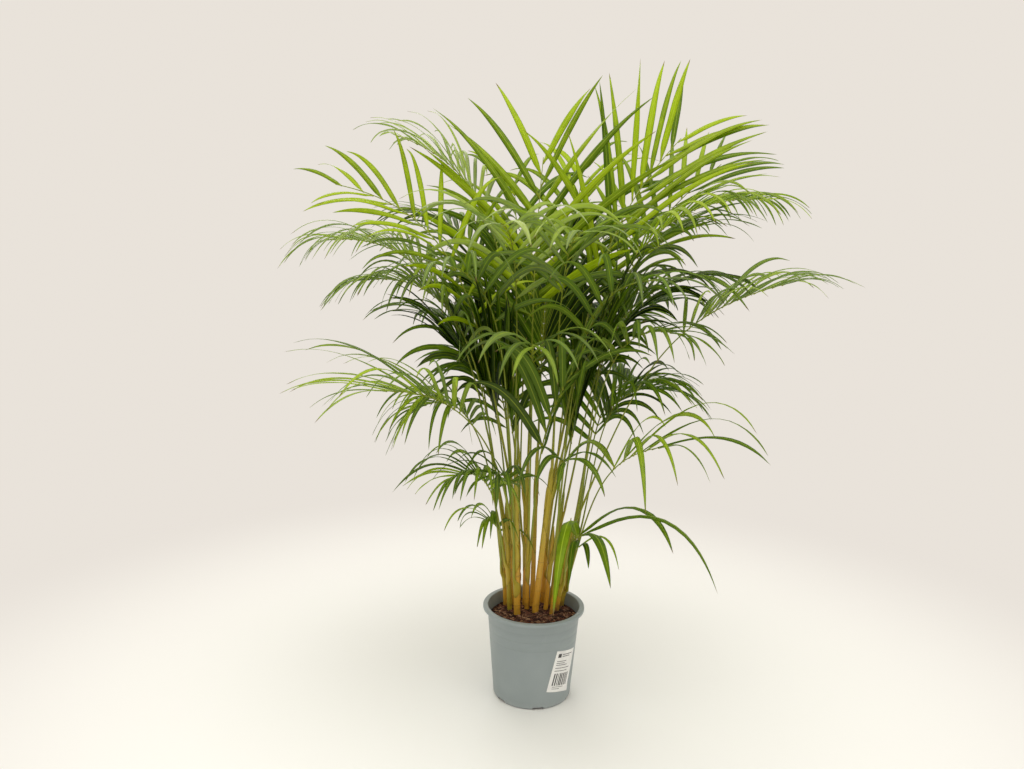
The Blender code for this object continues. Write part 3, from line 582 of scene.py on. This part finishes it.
def cane_material():
    """Canes: facts hold the height, the nearness of a ring scar and chance."""
    n = Nodes("palm_cane")
    height, scar, chance = n.fact("facts")
    lengthwise = n.noise(190.0, 4.0, 0.6, n.place((1.0, 1.0, 0.05)))
    mottled = n.noise(70.0, 4.0, 0.6)
    where = n.vary(height, mottled, 0.5)
    colour = n.mix(n.ramp(where, 0.10, 0.85), CANE_FOOT, CANE_TOP)
    colour = n.mix(n.ramp(chance, 0.55, 1.0, 0.0, 0.7), colour, CANE_OLD)
    colour = n.mix(n.ramp(lengthwise, 0.45, 0.8, 0.0, 0.45), colour, CANE_STREAK)
    specks = n.ramp(n.noise(330.0, 2.0), 0.64, 0.72, 0.0, 0.5)
    scarred = n.ramp(n.vary(scar, mottled, 0.7), 0.45, 0.95, 0.0, 0.6)
    soil = n.ramp(where, -0.12, 0.06, 0.9, 0.0)
    colour = n.mix(n.math("MAXIMUM", n.math("MAXIMUM", specks, scarred), soil), colour, CANE_SCAR)
    return n.surface(colour, n.math("MULTIPLY_ADD", mottled, 0.3, 0.28), n.bump(lengthwise, 0.3, 0.0006))


def pot_material():
    """Blow-moulded plastic with a dull, faintly mottled skin."""
    n = Nodes("pot_plastic")
    cloud = n.noise(9.0, 3.0)
    scuff = n.noise(60.0, 5.0, 0.65, n.place((1.0, 1.0, 0.18)))
    colour = n.mix(n.ramp(cloud, 0.3, 0.7), POT_GREY, POT_LIGHT)
    colour = n.mix(n.ramp(scuff, 0.60, 0.80, 0.0, 0.35), colour, POT_SCUFF)
    x, y, height = n.add("SeparateXYZ", {0: n.place()}).outputs
    colour = n.mix(n.ramp(height, 0.0, 0.014, 0.30, 0.0), colour, POT_SCUFF)
    # Painted shade: the wall inside the drain recess is darkened in place of the shadow that falls there.
    within = n.ramp(n.distance(x, y), FOOT_RADIUS - 0.0022, FOOT_RADIUS - 0.0008, 1.0, 0.0)
    recess = n.math("MULTIPLY", within, n.ramp(height, DRAIN_HEIGHT, DRAIN_HEIGHT + 0.0008, 1.0, 0.0))
    colour = n.mix(recess, colour, POT_RECESS_SHADE)
    fine = n.bump(n.noise(900.0, 2.0), 0.12, 0.0003)
    return n.surface(colour, n.math("MULTIPLY_ADD", scuff, 0.25, 0.36), n.bump(cloud, 0.25, 0.004, fine))


def compost_material():
    """Crumbs of peat: dark brown with reddish fibre."""
    n = Nodes("compost_bed")
    crumb = n.noise(240.0, 6.0, 0.7)
    patch = n.noise(45.0, 4.0)
    colour = n.mix(n.ramp(crumb, 0.35, 0.7), COMPOST_DARK, COMPOST_LIGHT)
    colour = n.mix(n.ramp(patch, 0.5, 0.75, 0.0, 0.6), colour, COMPOST_RED)
    return n.surface(colour, 0.95, n.bump(crumb, 0.9, 0.002), specular=0.2)


def chip_material():
    """Bark chips and coir: each one between dark bark and pale fibre, by chance."""
    n = Nodes("compost_chips")
    _, _, chance = n.fact("facts")
    grain = n.noise(420.0, 4.0, 0.7)
    shade = n.vary(chance, grain, 0.5, clamp=True)
    colour = n.mix(n.ramp(shade, 0.0, 0.5), CHIP_DARK, CHIP_RED)
    colour = n.mix(n.ramp(shade, 0.55, 0.95), colour, CHIP_PALE)
    return n.surface(colour, 0.85, n.bump(grain, 0.8, 0.0008), specular=0.3)


def paper_material():
    n = Nodes("label_paper")
    fibre = n.noise(700.0, 3.0)
    smudge = n.noise(35.0, 3.0)
    colour = n.mix(n.ramp(smudge, 0.35, 0.75), PAPER_WHITE, PAPER_GREY)
    return n.surface(colour, n.math("MULTIPLY_ADD", fibre, 0.2, 0.38), n.bump(fibre, 0.12, 0.0003))


def ink_material():
    n = Nodes("label_ink")
    worn = n.ramp(n.noise(900.0, 3.0), 0.45, 0.75, 0.0, 0.5)
    return n.surface(n.mix(worn, INK_BLACK, INK_WORN), 0.5)


# --- pot, compost and label ----------------------------------------------------------------------
def wall_radius(height):
    """Outside radius of the pot's wall at a height."""
    if height <= SHOULDER_HEIGHT:
        return FOOT_RADIUS + (SHOULDER_RADIUS - FOOT_RADIUS) * height / SHOULDER_HEIGHT
    return SHOULDER_RADIUS + (NECK_RADIUS - SHOULDER_RADIUS) * (height - SHOULDER_HEIGHT) / COLLAR_DEPTH


def lining(height, clearance=0.0):
    """Inside radius of the pot's wall at a height, less a clearance."""
    return wall_radius(height) - POT_WALL - clearance


def compost_radius():
    return lining(COMPOST_LEVEL - COMPOST_MOUND, GAP)


def turned(name, outline):
    """Turn an outline of (radius, height) points, top to bottom on its outer side, about Z."""
    bm = bmesh.new()
    points = [bm.verts.new((radius, 0.0, height)) for radius, height in outline]
    for start, end in zip(points, points[1:]):
        bm.edges.new((start, end))
    obj = placed(name, meshed(name, bm))
    screw = obj.modifiers.new("turn", "SCREW")
    screw.steps = screw.render_steps = TURNED_STEPS
    screw.use_merge_vertices = True
    screw.merge_threshold = TURNED_MERGE
    return obj


def drain_cutter(index):
    """The block that cuts one drain notch at the pot's foot, with its upper corners rounded."""
    reach = 2 * DRAIN_DEPTH
    place = (
        Matrix.Rotation(radians(DRAIN_TURN + 360 * index / DRAIN_COUNT), 4, "Z")
        @ Matrix.Translation((FOOT_RADIUS, 0.0, 0.0))
        @ Matrix.Diagonal((reach, DRAIN_WIDTH, 2 * DRAIN_HEIGHT, 1.0))
    )
    bm = bmesh.new()
    bmesh.ops.create_cube(bm, size=1.0, matrix=place)
    upper = [e for e in bm.edges if min(v.co.z for v in e.verts) > 0]
    corners = [e for e in upper if abs(e.calc_length() - reach) < TURNED_MERGE]
    bmesh.ops.bevel(bm, geom=corners, offset=DRAIN_ROUND, segments=4, affect="EDGES", profile=0.5)
    return placed("drain_cutter", meshed("drain_cutter", bm))


def make_pot(material):
    inside = [(0.0, POT_FLOOR)]
    inside += arc(lining(FOOT_ROUND) - FOOT_ROUND, POT_FLOOR + FOOT_ROUND, FOOT_ROUND, -90, 0)
    inside += [(lining(SHOULDER_HEIGHT), SHOULDER_HEIGHT), (lining(POT_HEIGHT), POT_HEIGHT - RIM_ROUND)]
    lip = lining(POT_HEIGHT) + RIM_ROUND
    inside += arc(lip, POT_HEIGHT - RIM_ROUND, RIM_ROUND, 180, 90)[1:]
    rim = arc(RIM_RADIUS - RIM_ROUND, POT_HEIGHT - RIM_ROUND, RIM_ROUND, 90, 0)
    half = POT_WALL / 2
    rim += arc(RIM_RADIUS - half, POT_HEIGHT - RIM_DEPTH + half, half, 0, -180)
    rim += [(RIM_RADIUS - POT_WALL, POT_HEIGHT - POT_WALL), (NECK_RADIUS, POT_HEIGHT - POT_WALL)]
    collar = []
    for height in GROOVE_HEIGHTS:
        for above, cut in ((GROOVE_HALF, 0.0), (0.0, GROOVE_DEPTH), (-GROOVE_HALF, 0.0)):
            collar.append((wall_radius(height) - cut, height + above))
    foot = arc(wall_radius(FOOT_ROUND) - FOOT_ROUND, FOOT_ROUND, FOOT_ROUND, 0, -90)
    pot = turned("nursery_pot", inside + rim + collar + foot + [(0.0, 0.0)])
    cutters = [drain_cutter(index) for index in range(DRAIN_COUNT)]
    for cutter in cutters:
        boolean = pot.modifiers.new("drain", "BOOLEAN")
        boolean.operation = "DIFFERENCE"
        boolean.solver = "EXACT"
        boolean.object = cutter
    mesh = bpy.data.meshes.new_from_object(pot.evaluated_get(bpy.context.evaluated_depsgraph_get()))
    pot.modifiers.clear()
    pot.data = mesh
    mesh.shade_smooth()
    mesh.set_sharp_from_angle(angle=radians(SHARP))
    mesh.materials.clear()
    mesh.materials.append(material)
    for cutter in cutters:
        bpy.data.objects.remove(cutter, do_unlink=True)
    stands_for(pot, "pot", "pot")


def bed_height(x, y):
    """Height of the compost's crumbly top at a place."""
    share = hypot(x, y) / compost_radius()
    level = COMPOST_LEVEL - COMPOST_MOUND * share * share
    place = Vector((x, y, 0.0))
    lumps = sum(noise.noise(place * density) * tall for density, tall in BED_LUMPS)
    return level + lumps * (1 - smooth(0.93, 1.0, share)) - BED_SINK


def make_compost(material):
    builder = Builder()
    circle = [(cos(turn), sin(turn)) for turn in turns(BED_COLUMNS)]
    rings = []
    for row in range(1, BED_RINGS + 1):
        radius = compost_radius() * row / BED_RINGS
        spots = [(radius * x, radius * y) for x, y in circle]
        rings.append(builder.ring([Vector((x, y, bed_height(x, y))) for x, y in spots]))
    side = (
        (lining(SHOULDER_HEIGHT, GAP), SHOULDER_HEIGHT),
        (lining(FOOT_ROUND, 2 * GAP), POT_FLOOR + FOOT_ROUND + GAP),
        (lining(POT_FLOOR, 2 * GAP) - FOOT_ROUND, POT_FLOOR + GAP),
    )
    for radius, height in side:
        rings.append(builder.ring([Vector((radius * x, radius * y, height)) for x, y in circle]))
    builder.tube(rings)
    builder.fan(rings[0], Vector((0, 0, bed_height(0, 0))))
    builder.fan(rings[-1], Vector((0, 0, POT_FLOOR + GAP)))
    stands_for(builder.object("compost_bed", [material]), "compost", "compost")


def add_chip(builder, chance, free_place):
    length = chance.uniform(*CHIP_LENGTH)
    x, y = free_place(length / 2 + 0.001)
    size = Vector((length, length * chance.uniform(*CHIP_WIDTH), chance.uniform(*CHIP_THICKNESS))) / 2
    turn = Matrix.Rotation(chance.uniform(0, pi), 3, "Z")
    tip = Matrix.Rotation(chance.gauss(0, 0.28), 3, "X") @ Matrix.Rotation(chance.gauss(0, 0.22), 3, "Y")
    middle = Vector((x, y, bed_height(x, y) + size.z * chance.uniform(0.2, 1.2)))
    shade = chance.random() ** 2.4
    rings = []
    for end, width in CHIP_SHAPE:
        corners = []
        for step in range(CHIP_CORNERS):
            around = 2 * pi * (step + 0.5) / CHIP_CORNERS
            spot = Vector((
                size.x * (end + chance.uniform(-0.12, 0.12)),
                size.y * width * cos(around) * chance.uniform(*CHIP_ROUGH),
                size.z * width * sin(around) * chance.uniform(*CHIP_ROUGH),
            ))
            corners.append(middle + turn @ (tip @ spot))
        rings.append(builder.ring(corners, [(0, 0, shade)] * CHIP_CORNERS))
    builder.rod(rings)


def add_thread(builder, length, thick, place, heading, curl, shade, lift):
    """A thread of coir that lies bent on the bed, and stays within the pot."""
    rings = []
    for step in range(THREAD_STEPS + 1):
        share = step / THREAD_STEPS - 0.5
        turn = heading + curl * share
        x, y = place[0] + length * share * cos(turn), place[1] + length * share * sin(turn)
        if hypot(x, y) >= compost_radius() - 0.002:
            x, y = x * 0.97, y * 0.97
        spot = Vector((x, y, bed_height(x, y) + lift))
        wide = Vector((-sin(turn), cos(turn), 0.0)) * thick
        tall = UP * thick
        rings.append(builder.ring([spot + wide, spot + tall, spot - wide, spot - tall], [(0, 0, shade)] * 4))
    builder.rod(rings)


def make_chips(material):
    """Bark chips, and threads of coir, strewn over the bed between the canes."""
    chance = random.Random("chips")
    builder = Builder()
    feet = [(cane_axis(letter)[0], CANES[letter][5]) for letter in CANES]

    def free_place(margin):
        while True:
            radius = (compost_radius() - margin) * sqrt(chance.random())
            turn = chance.uniform(0, 2 * pi)
            x, y = radius * cos(turn), radius * sin(turn)
            if all(hypot(x - foot.x, y - foot.y) > thick + 0.6 * margin for foot, thick in feet):
                return x, y

    for _ in range(CHIP_COUNT):
        add_chip(builder, chance, free_place)
    curl = chance.uniform(-THREAD_CURL, THREAD_CURL) * 0.2
    add_thread(builder, *LONG_THREAD, curl, 1.0, chance.uniform(*THREAD_LIFT))
    for _ in range(THREAD_COUNT):
        length, thick = chance.uniform(*THREAD_LENGTH), chance.uniform(*THREAD_RADIUS)
        place, heading = free_place(length / 2), chance.uniform(0, 2 * pi)
        curl = chance.uniform(-THREAD_CURL, THREAD_CURL)
        shade = 0.35 + 0.65 * chance.random()
        add_thread(builder, length, thick, place, heading, curl, shade, chance.uniform(*THREAD_LIFT))
    stands_for(builder.object("compost_chips", [material], CHIP_SHARP), "compost")


def on_pot(x, y, lift):
    """Where a place on the flat label, measured from its middle, comes to lie on the pot."""
    lean = Matrix.Rotation(radians(-LABEL_LEAN), 2)
    across, rise = lean @ Vector((x, y))
    height = LABEL_CENTRE + rise
    heading = radians(LABEL_TURN) + across / wall_radius(LABEL_CENTRE)
    radius = wall_radius(height) + GAP + lift
    return Vector((radius * cos(heading), radius * sin(heading), height))


def add_patch(builder, low, high, bottom, top, steps):
    """A thin slab of the label's plane between two corners, bent onto the pot."""
    columns, rows = steps
    levels = []
    for lift in (bottom, top):
        grid = []
        for row in range(rows + 1):
            y = low[1] + (high[1] - low[1]) * row / rows
            xs = [low[0] + (high[0] - low[0]) * column / columns for column in range(columns + 1)]
            grid.append(builder.ring([on_pot(x, y, lift + corner_curl(x, y)) for x in xs]))
        levels.append(grid)
        for row, following in zip(grid, grid[1:]):
            for i in range(columns):
                builder.face((row[i], row[i + 1], following[i + 1], following[i]))
    lower, upper = levels
    for row in range(rows):
        for i in (0, columns):
            builder.face((lower[row][i], lower[row + 1][i], upper[row + 1][i], upper[row][i]))
    for i in range(columns):
        for row in (0, rows):
            builder.face((lower[row][i], lower[row][i + 1], upper[row][i + 1], upper[row][i]))


def corner_curl(x, y):
    """How far the label stands off the pot: its lower right corner has come loose a little."""
    corner = Vector((LABEL_WIDTH / 2 - x, y + LABEL_LENGTH / 2)).length
    return CURL_LIFT * (1 - smooth(0.0, CURL_REACH, corner))


def make_label(paper, ink):
    """The label with its print; the label's own solid is a little thicker than the paper."""
    sheet, printed = Builder(), Builder()
    right, upper = LABEL_WIDTH / 2, LABEL_LENGTH / 2
    face = LABEL_THICKNESS * 0.6
    add_patch(sheet, (-right, -upper), (right, upper), 0.0, face, (24, 30))
    stands_for(sheet.object("pot_label", [paper], SHARP), "label", "label")

    def bar(left, foot, width, height, columns, rows=1):
        low = (left - right, upper - foot)
        high = (low[0] + width, low[1] + height)
        add_patch(printed, low, high, LABEL_THICKNESS * 0.5, face + INK_LIFT, (columns, rows))

    for item in LABEL_PRINT:
        bar(*item)
    chance = random.Random("print")
    left = BARCODE_SIDES[0]
    while left < BARCODE_SIDES[1]:
        width = chance.choice(BARCODE_BARS)
        bar(left, BARCODE_FOOT, width, BARCODE_HEIGHT, 1, 4)
        left += width + chance.choice(BARCODE_GAPS)
    stands_for(printed.object("label_print", [ink], SHARP), "label")


# --- canes -----------------------------------------------------------------------------------------
def cane_axis(letter):
    """Where a cane's axis meets the compost's level, and the axis's direction."""
    x, y, heading, lean = CANES[letter][:4]
    foot = Vector((x * compost_radius(), y * compost_radius(), COMPOST_LEVEL))
    return foot, direction(heading, lean)


def cane_radius(letter, height):
    top, radius = CANES[letter][4:]
    return radius * (1 - CANE_TAPER * max(height, 0.0) / top)


def make_cane(letter, material):
    """A cane with the ring scars of its fallen fronds, ending in the point of a folded leaf."""
    chance = random.Random("cane " + letter)
    foot, along = cane_axis(letter)
    top = CANES[letter][4]
    side = along.orthogonal().normalized()
    front = along.cross(side)
    scars, place = [], chance.uniform(*SCAR_FIRST)
    while place < top - 0.03:
        scars.append((place, chance.uniform(-SCAR_SLANT, SCAR_SLANT), chance.uniform(*ANY_TURN)))
        place += chance.uniform(*SCAR_GAP)
    age = chance.random()
    builder = Builder()
    rings = []
    steps = int((CANE_DEPTH + top) / CANE_RING)
    for step in range(steps + 1):
        height = -CANE_DEPTH + (CANE_DEPTH + top) * step / steps
        radius = cane_radius(letter, height) * (1 - 0.75 * smooth(top - CANE_POINT, top, height) ** 1.3)
        corners, facts = [], []
        for turn in turns(CANE_COLUMNS):
            ring = 0.0
            for scar, slant, heading in scars:
                off = height - scar - slant * radius * cos(turn - heading)
                ring = max(ring, exp(-((off / SCAR_HALF) ** 2)))
            knobble = noise.noise(Vector((cos(turn), sin(turn), height * 30)))
            swell = 1 + SCAR_SWELL * ring + CANE_KNOBBLE * knobble
            spoke = side * cos(turn) + front * sin(turn)
            corners.append(foot + along * height + spoke * radius * swell)
            facts.append((height / 0.30, ring, age))
        rings.append(builder.ring(corners, facts))
    builder.tube(rings)
    builder.fan(rings[0], foot - along * CANE_DEPTH, (-0.2, 0, age))
    builder.fan(rings[-1], foot + along * (top + 0.0002), (1.0, 0, age))
    stands_for(builder.object("palm_cane_" + letter, [material]), "cane", "cane_" + letter)


# --- fronds ----------------------------------------------------------------------------------------
class Frond:
    """One frond's course: a curve from beside its cane to its tip, turned by a swing."""

    def __init__(self, name, swing=0.0):
        self.cane, self.start, x, y, height, rise, fall, self.bare = FRONDS[name][:8]
        self.leaf, self.droop, self.pairs, *self.look, self.filled = FRONDS[name][8:]
        self.roll, self.opening = ROLLS.get(name, 0), OPENINGS.get(name, 1.0)
        foot, along = cane_axis(self.cane)
        axis_point = foot + along * self.start / along.z
        tip = Vector((x, y, COMPOST_LEVEL + height))
        reach = Matrix.Rotation(radians(swing), 3, "Z") @ ((tip - axis_point) * Vector((1, 1, 0)))
        self.heading = degrees(atan2(reach.y, reach.x))
        beside = cane_radius(self.cane, self.start) + PETIOLE_RADIUS + CLEARANCE + GAP
        base = axis_point + direction(self.heading, 90) * beside
        tip = Vector((axis_point.x + reach.x, axis_point.y + reach.y, tip.z))
        chord = (tip - base).length
        self.points = (
            base,
            base + direction(self.heading, rise) * chord * RISE_REACH,
            tip - direction(self.heading, fall) * chord * FALL_REACH,
            tip,
        )

    def point(self, share):
        a, b, c, d = self.points
        rest = 1 - share
        return a * rest**3 + b * 3 * rest * rest * share + c * 3 * rest * share * share + d * share**3

    def frame(self, share):
        """Along, left and up at a share of the stalk."""
        a, b, c, d = self.points
        rest = 1 - share
        along = ((b - a) * rest * rest + (c - b) * 2 * rest * share + (d - c) * share * share).normalized()
        left = UP.cross(direction(self.heading, 90))
        left = (left - along * left.dot(along)).normalized()
        up = along.cross(left)
        turn = Quaternion(along, radians(self.roll))
        return along, turn @ left, turn @ up

    def radius(self, share):
        return PETIOLE_RADIUS + (STALK_TIP_RADIUS - PETIOLE_RADIUS) * share

    def place(self, index):
        """Share of the stalk at which a leaflet grows."""
        return self.bare + (1 - self.bare) * (index + 0.5) / (2 * self.pairs)

    def ridge(self, share):
        """The plain stalk's upper edge."""
        return self.point(share) + self.frame(share)[2] * self.radius(share)


def fullness(share):
    """Length of a leaflet against the longest, along the leafy part of a frond."""
    if share < LONGEST_AT:
        return 1 - SHORTER_FIRST * (1 - share / LONGEST_AT) ** 2
    return 1 - SHORTER_LAST * ((share - LONGEST_AT) / (1 - LONGEST_AT)) ** 2


def leaflet_path(frond, index, quirks, attempt):
    """The course of one leaflet, with the small quirks it grew with and what it tries to get clear."""
    length_share, lift_change, spread_change = attempt
    spread_quirk, lift_quirk, length_quirk, droop_quirk = quirks
    side = 1 if index % 2 == 0 else -1
    outward = index / (2 * frond.pairs - 1)
    share = frond.place(index)
    along, left, up = frond.frame(share)
    spread = radians(blend(SPREAD, outward) * frond.opening + spread_quirk + spread_change)
    lift = radians(blend(LIFT, outward) + lift_quirk + lift_change)
    start = along * cos(spread)
    start += (left * side * cos(lift) + up * sin(lift)) * sin(spread)
    length = frond.leaf * fullness(outward) * length_quirk * length_share
    point = frond.point(share)
    path = [point]
    for step in range(LEAFLET_STEPS):
        bend = frond.droop * droop_quirk * ((step + 0.5) / LEAFLET_STEPS) ** DROOP_POWER
        point = point + (start - UP * bend).normalized() * length / LEAFLET_STEPS
        path.append(point)
    return path


def distance_to(node):
    """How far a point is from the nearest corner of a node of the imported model."""
    corners = [v.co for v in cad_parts[node].data.vertices]
    tree = KDTree(len(corners))
    for index, corner in enumerate(corners):
        tree.insert(corner, index)
    tree.balance()
    return lambda point: tree.find(point)[2]


def leaf_width(t):
    """Half width along a leaflet: a narrow root, an even blade and a long fine point."""
    root = blend((LEAF_ROOT_SHARE, 1.0), smooth(0.0, LEAF_FULL_AT, t))
    past = max(0.0, (t - LEAF_TAPER_AT) / (1 - LEAF_TAPER_AT))
    return root * max(0.0, 1 - past**LEAF_TAPER_POWER)


def between(frond, index, path, following, chance):
    """The course of a leaflet that grows midway between two others of its side."""
    root = frond.point(frond.place(index + 1))
    shift = root - (path[0] + following[0]) / 2
    stray = Vector([chance.gauss(0, BETWEEN_STRAY) for _ in range(3)])
    course = []
    for step, (first, second) in enumerate(zip(path, following)):
        t = step / LEAFLET_STEPS
        course.append((first + second) / 2 + shift * (1 - t) + stray * t * t)
    return course


def add_leaflet(builder, frond, index, path, side, chance):
    """One leaflet: a thin closed blade with a folded midrib, along a path of points."""
    tone_light_and_shade, painted_sheen, width_share = frond.look
    along = frond.frame(frond.place(index))[0]
    length = sum((b - a).length for a, b in zip(path, path[1:]))
    half = LEAFLET_WIDTH / 2 * width_share * chance.uniform(*LEAF_WIDTH_QUIRK)
    half *= min(1.0, 0.55 + length / 0.45)
    twist_end = radians(chance.gauss(0, LEAF_TWIST))
    ripple = chance.uniform(0.2, 1.0) * LEAF_RIPPLE
    phase, waves = chance.uniform(*ANY_TURN), chance.uniform(*LEAF_WAVES)
    fold_ends = (LEAF_FOLD, chance.uniform(*LEAF_FOLD_END))
    tint = (min(1.0, max(0.0, tone_light_and_shade + chance.gauss(0, TONE_QUIRK))), painted_sheen * chance.uniform(*SHEEN_QUIRK), 0.0)
    luck = chance.random()
    rings = []
    last = len(path) - 1
    before = (path[1] - path[0]).normalized()
    across = (along - before * along.dot(before)).normalized()
    for step in range(LEAF_RINGS):
        x = step / LEAF_RINGS
        t = 0.62 * x + 0.38 * (1 - cos(pi * x)) / 2
        spot = on_curve(path, t * last)
        course = on_curve(path, min(last, t * last + 0.15)) - on_curve(path, max(0, t * last - 0.15))
        course.normalize()
        if step > 0:
            across = before.rotation_difference(course) @ across
        across = (across - course * across.dot(course)).normalized()
        before = course
        wide = Quaternion(course, twist_end * smooth(0.15, 1.0, t)) @ across
        normal = wide.cross(course) * side
        fold = radians(blend(fold_ends, smooth(0.0, 0.45, t)))
        reach = half * leaf_width(t) + LEAF_LEAST
        thick = LEAF_THICKNESS[0] + LEAF_THICKNESS[1] * (1 - smooth(0.0, 0.10, t))
        corners = []
        for number, u in enumerate(LEAF_TOP + LEAF_BOTTOM):
            drop = abs(u) * sin(fold) * reach - ripple * u * u * sin(waves * t + phase + u)
            if number >= len(LEAF_TOP):
                drop += 2 * thick * sqrt(1 - u * u)
                drop += LEAF_RIB_HEIGHT * exp(-((u / 0.2) ** 2)) * (1 - t)
            corners.append(spot + wide * u * cos(fold) * reach - normal * drop)
        rings.append(builder.ring(corners, [(u, t, luck) for u in LEAF_TOP + LEAF_BOTTOM], tint))
    builder.tube(rings)
    builder.fan(rings[-1], path[-1], (0.0, 1.0, luck), tint)
    builder.face(rings[0])


def add_stalk(builder, frond, chance):
    """The stalk with its channel, and the sheath that its foot wraps about the cane."""
    tint = (*frond.look[:2], 0.0)
    luck = chance.random()
    foot, axis = cane_axis(frond.cane)
    side = axis.cross(direction(frond.heading, 90)).normalized()
    outward = side.cross(axis).normalized()
    reach = min(SHEATH_LENGTH, frond.start * 0.55)
    around = [radians(angle) for angle in STALK_ANGLES]
    flat = [frond.points[0] + (sin(a) * side + cos(a) * outward) * PETIOLE_RADIUS for a in around]
    rings = []

    def add_ring(corners, share):
        rings.append(builder.ring(corners, [(0, share, luck)] * len(around), tint))

    for step in range(SHEATH_RINGS):
        share = step / SHEATH_RINGS
        height = frond.start - reach * (1 - share)
        centre = foot + axis * height / axis.z
        inner = cane_radius(frond.cane, height) + SHEATH_GAP
        outer = inner + SHEATH_GAP + SHEATH_THICKNESS * smooth(0.0, 0.5, share)
        half_turn = blend((12, 150), smooth(-0.05, 0.35, share)) - 80 * smooth(0.35, 1.0, share)
        hug = []
        sides = ((outer, STALK_OUTER, -1.0), (inner, len(STALK_ANGLES) - STALK_OUTER, 0.92))
        for radius, count, wrap in sides:
            for index in range(count):
                turn = radians(half_turn) * wrap * (1 - 2 * index / (count - 1))
                hug.append(centre + (outward * cos(turn) + side * sin(turn)) * radius)
        shift = centre - (foot + axis * frond.start / axis.z)
        morph = smooth(0.55, 1.0, share)
        add_ring([a.lerp(b + shift, morph) for a, b in zip(hug, flat)], -0.22 * (1 - share))
    for step in range(STALK_RINGS + 1):
        share = step / STALK_RINGS
        middle, (_, left, up) = frond.point(share), frond.frame(share)
        radius = frond.radius(share) * blend((STALK_FOOT_SHARE, STALK_SHARE), smooth(0.0, 0.25, share))
        corners = []
        for angle in around:
            hollow = exp(-(((abs(angle) - pi) / 0.5) ** 2)) * (1 - smooth(0.4, 0.9, share))
            spoke = (left * sin(angle) - up * cos(angle)) * radius
            corners.append(middle + spoke * (1 - CHANNEL * hollow))
        add_ring(corners, share)
    builder.tube(rings, 1)
    builder.fan(rings[-1], frond.points[3] + frond.frame(1.0)[0] * 0.002, (0, 1.0, luck), tint, 1)
    builder.face(rings[0], 1)


def make_frond(name, materials):
    """One frond along the course that its plain solid was built with."""
    distance = distance_to("frond_" + name)
    frond = min((Frond(name, swing) for swing in SWINGS), key=lambda f: distance(f.ridge(1.0)))
    builder = Builder()
    looks_chance = random.Random("look of " + name)
    add_stalk(builder, frond, looks_chance)
    chance = random.Random(name)
    paths = {}
    for index in range(2 * frond.pairs):
        quirks = (
            chance.uniform(-SPREAD_QUIRK, SPREAD_QUIRK),
            chance.uniform(-LIFT_QUIRK, LIFT_QUIRK),
            chance.uniform(*LENGTH_QUIRK),
            chance.uniform(*DROOP_QUIRK),
        )
        courses = (leaflet_path(frond, index, quirks, attempt) for attempt in TRIES)
        path = next((course for course in courses if distance(course[-1]) < MATCH), None)
        if path is not None:
            paths[index] = path
    for index, path in paths.items():
        side = 1 if index % 2 == 0 else -1
        add_leaflet(builder, frond, index, path, side, looks_chance)
        following = paths.get(index + 2)
        if following and frond.filled:
            extra = between(frond, index, path, following, looks_chance)
            add_leaflet(builder, frond, index + 1, extra, side, looks_chance)
    stands_for(builder.object("palm_frond_" + name, materials), "leaf", "frond_" + name)


# --- floor, light and camera -------------------------------------------------------------------
def make_floor():
    """A pale floor that fades into the backdrop's colour away from the pot."""
    bm = bmesh.new()
    bmesh.ops.create_grid(bm, x_segments=1, y_segments=1, size=FLOOR_SIZE)
    floor = placed("floor", meshed("floor", bm))
    n = Nodes("pale_floor")
    x, y, _ = n.add("SeparateXYZ", {0: n.place()}).outputs
    away = n.distance(x, n.math("MULTIPLY_ADD", n.noise(1.2, 1.0), 0.08, y))
    n.surface(FLOOR_COLOUR, 0.6, specular=0.15)
    n.mix_in(n.ramp(away, *FLOOR_FADE), n.add("Emission", {"Color": BACKDROP, "Strength": BACKDROP_LIGHT}))
    floor.data.materials.append(n.material)


def add_light(name, place, target, size, power, colour):
    data = bpy.data.lights.new(name, "AREA")
    data.shape = "RECTANGLE"
    data.size, data.size_y = size
    data.energy = power
    data.color = colour
    light = placed(name, data)
    light.location = place
    light.rotation_mode = "QUATERNION"
    light.rotation_quaternion = (Vector(target) - Vector(place)).to_track_quat("-Z", "Y")


def make_world():
    world = bpy.data.worlds.new("studio")
    world.use_nodes = True
    background = world.node_tree.nodes["Background"]
    background.inputs["Color"].default_value = (*BACKDROP, 1.0)
    background.inputs["Strength"].default_value = BACKDROP_LIGHT
    bpy.context.scene.world = world
    bpy.context.scene.view_settings.view_transform = "Standard"


def make_camera():
    data = bpy.data.cameras.new("camera")
    data.sensor_width = CAMERA_SENSOR
    data.lens = CAMERA_LENS
    camera = placed("camera", data)
    pitch, roll = radians(CAMERA_PITCH), radians(CAMERA_ROLL)
    forward = Vector((0.0, cos(pitch), -sin(pitch)))
    level_up, level_right = Vector((0.0, sin(pitch), cos(pitch))), Vector((1.0, 0.0, 0.0))
    up = level_up * cos(roll) - level_right * sin(roll)
    right = level_right * cos(roll) + level_up * sin(roll)
    turn = Matrix((right, up, -forward)).transposed()
    camera.matrix_world = Matrix.Translation(CAMERA_PLACE) @ turn.to_4x4()
    bpy.context.scene.camera = camera


def main():
    make_pot(pot_material())
    make_compost(compost_material())
    make_chips(chip_material())
    make_label(paper_material(), ink_material())
    cane = cane_material()
    for letter in CANES:
        make_cane(letter, cane)
    leaf = [leaf_material(), stalk_material()]
    for name in FRONDS:
        make_frond(name, leaf)
    make_floor()
    make_world()
    for light in LIGHTS:
        add_light(*light)
    make_camera()


main()
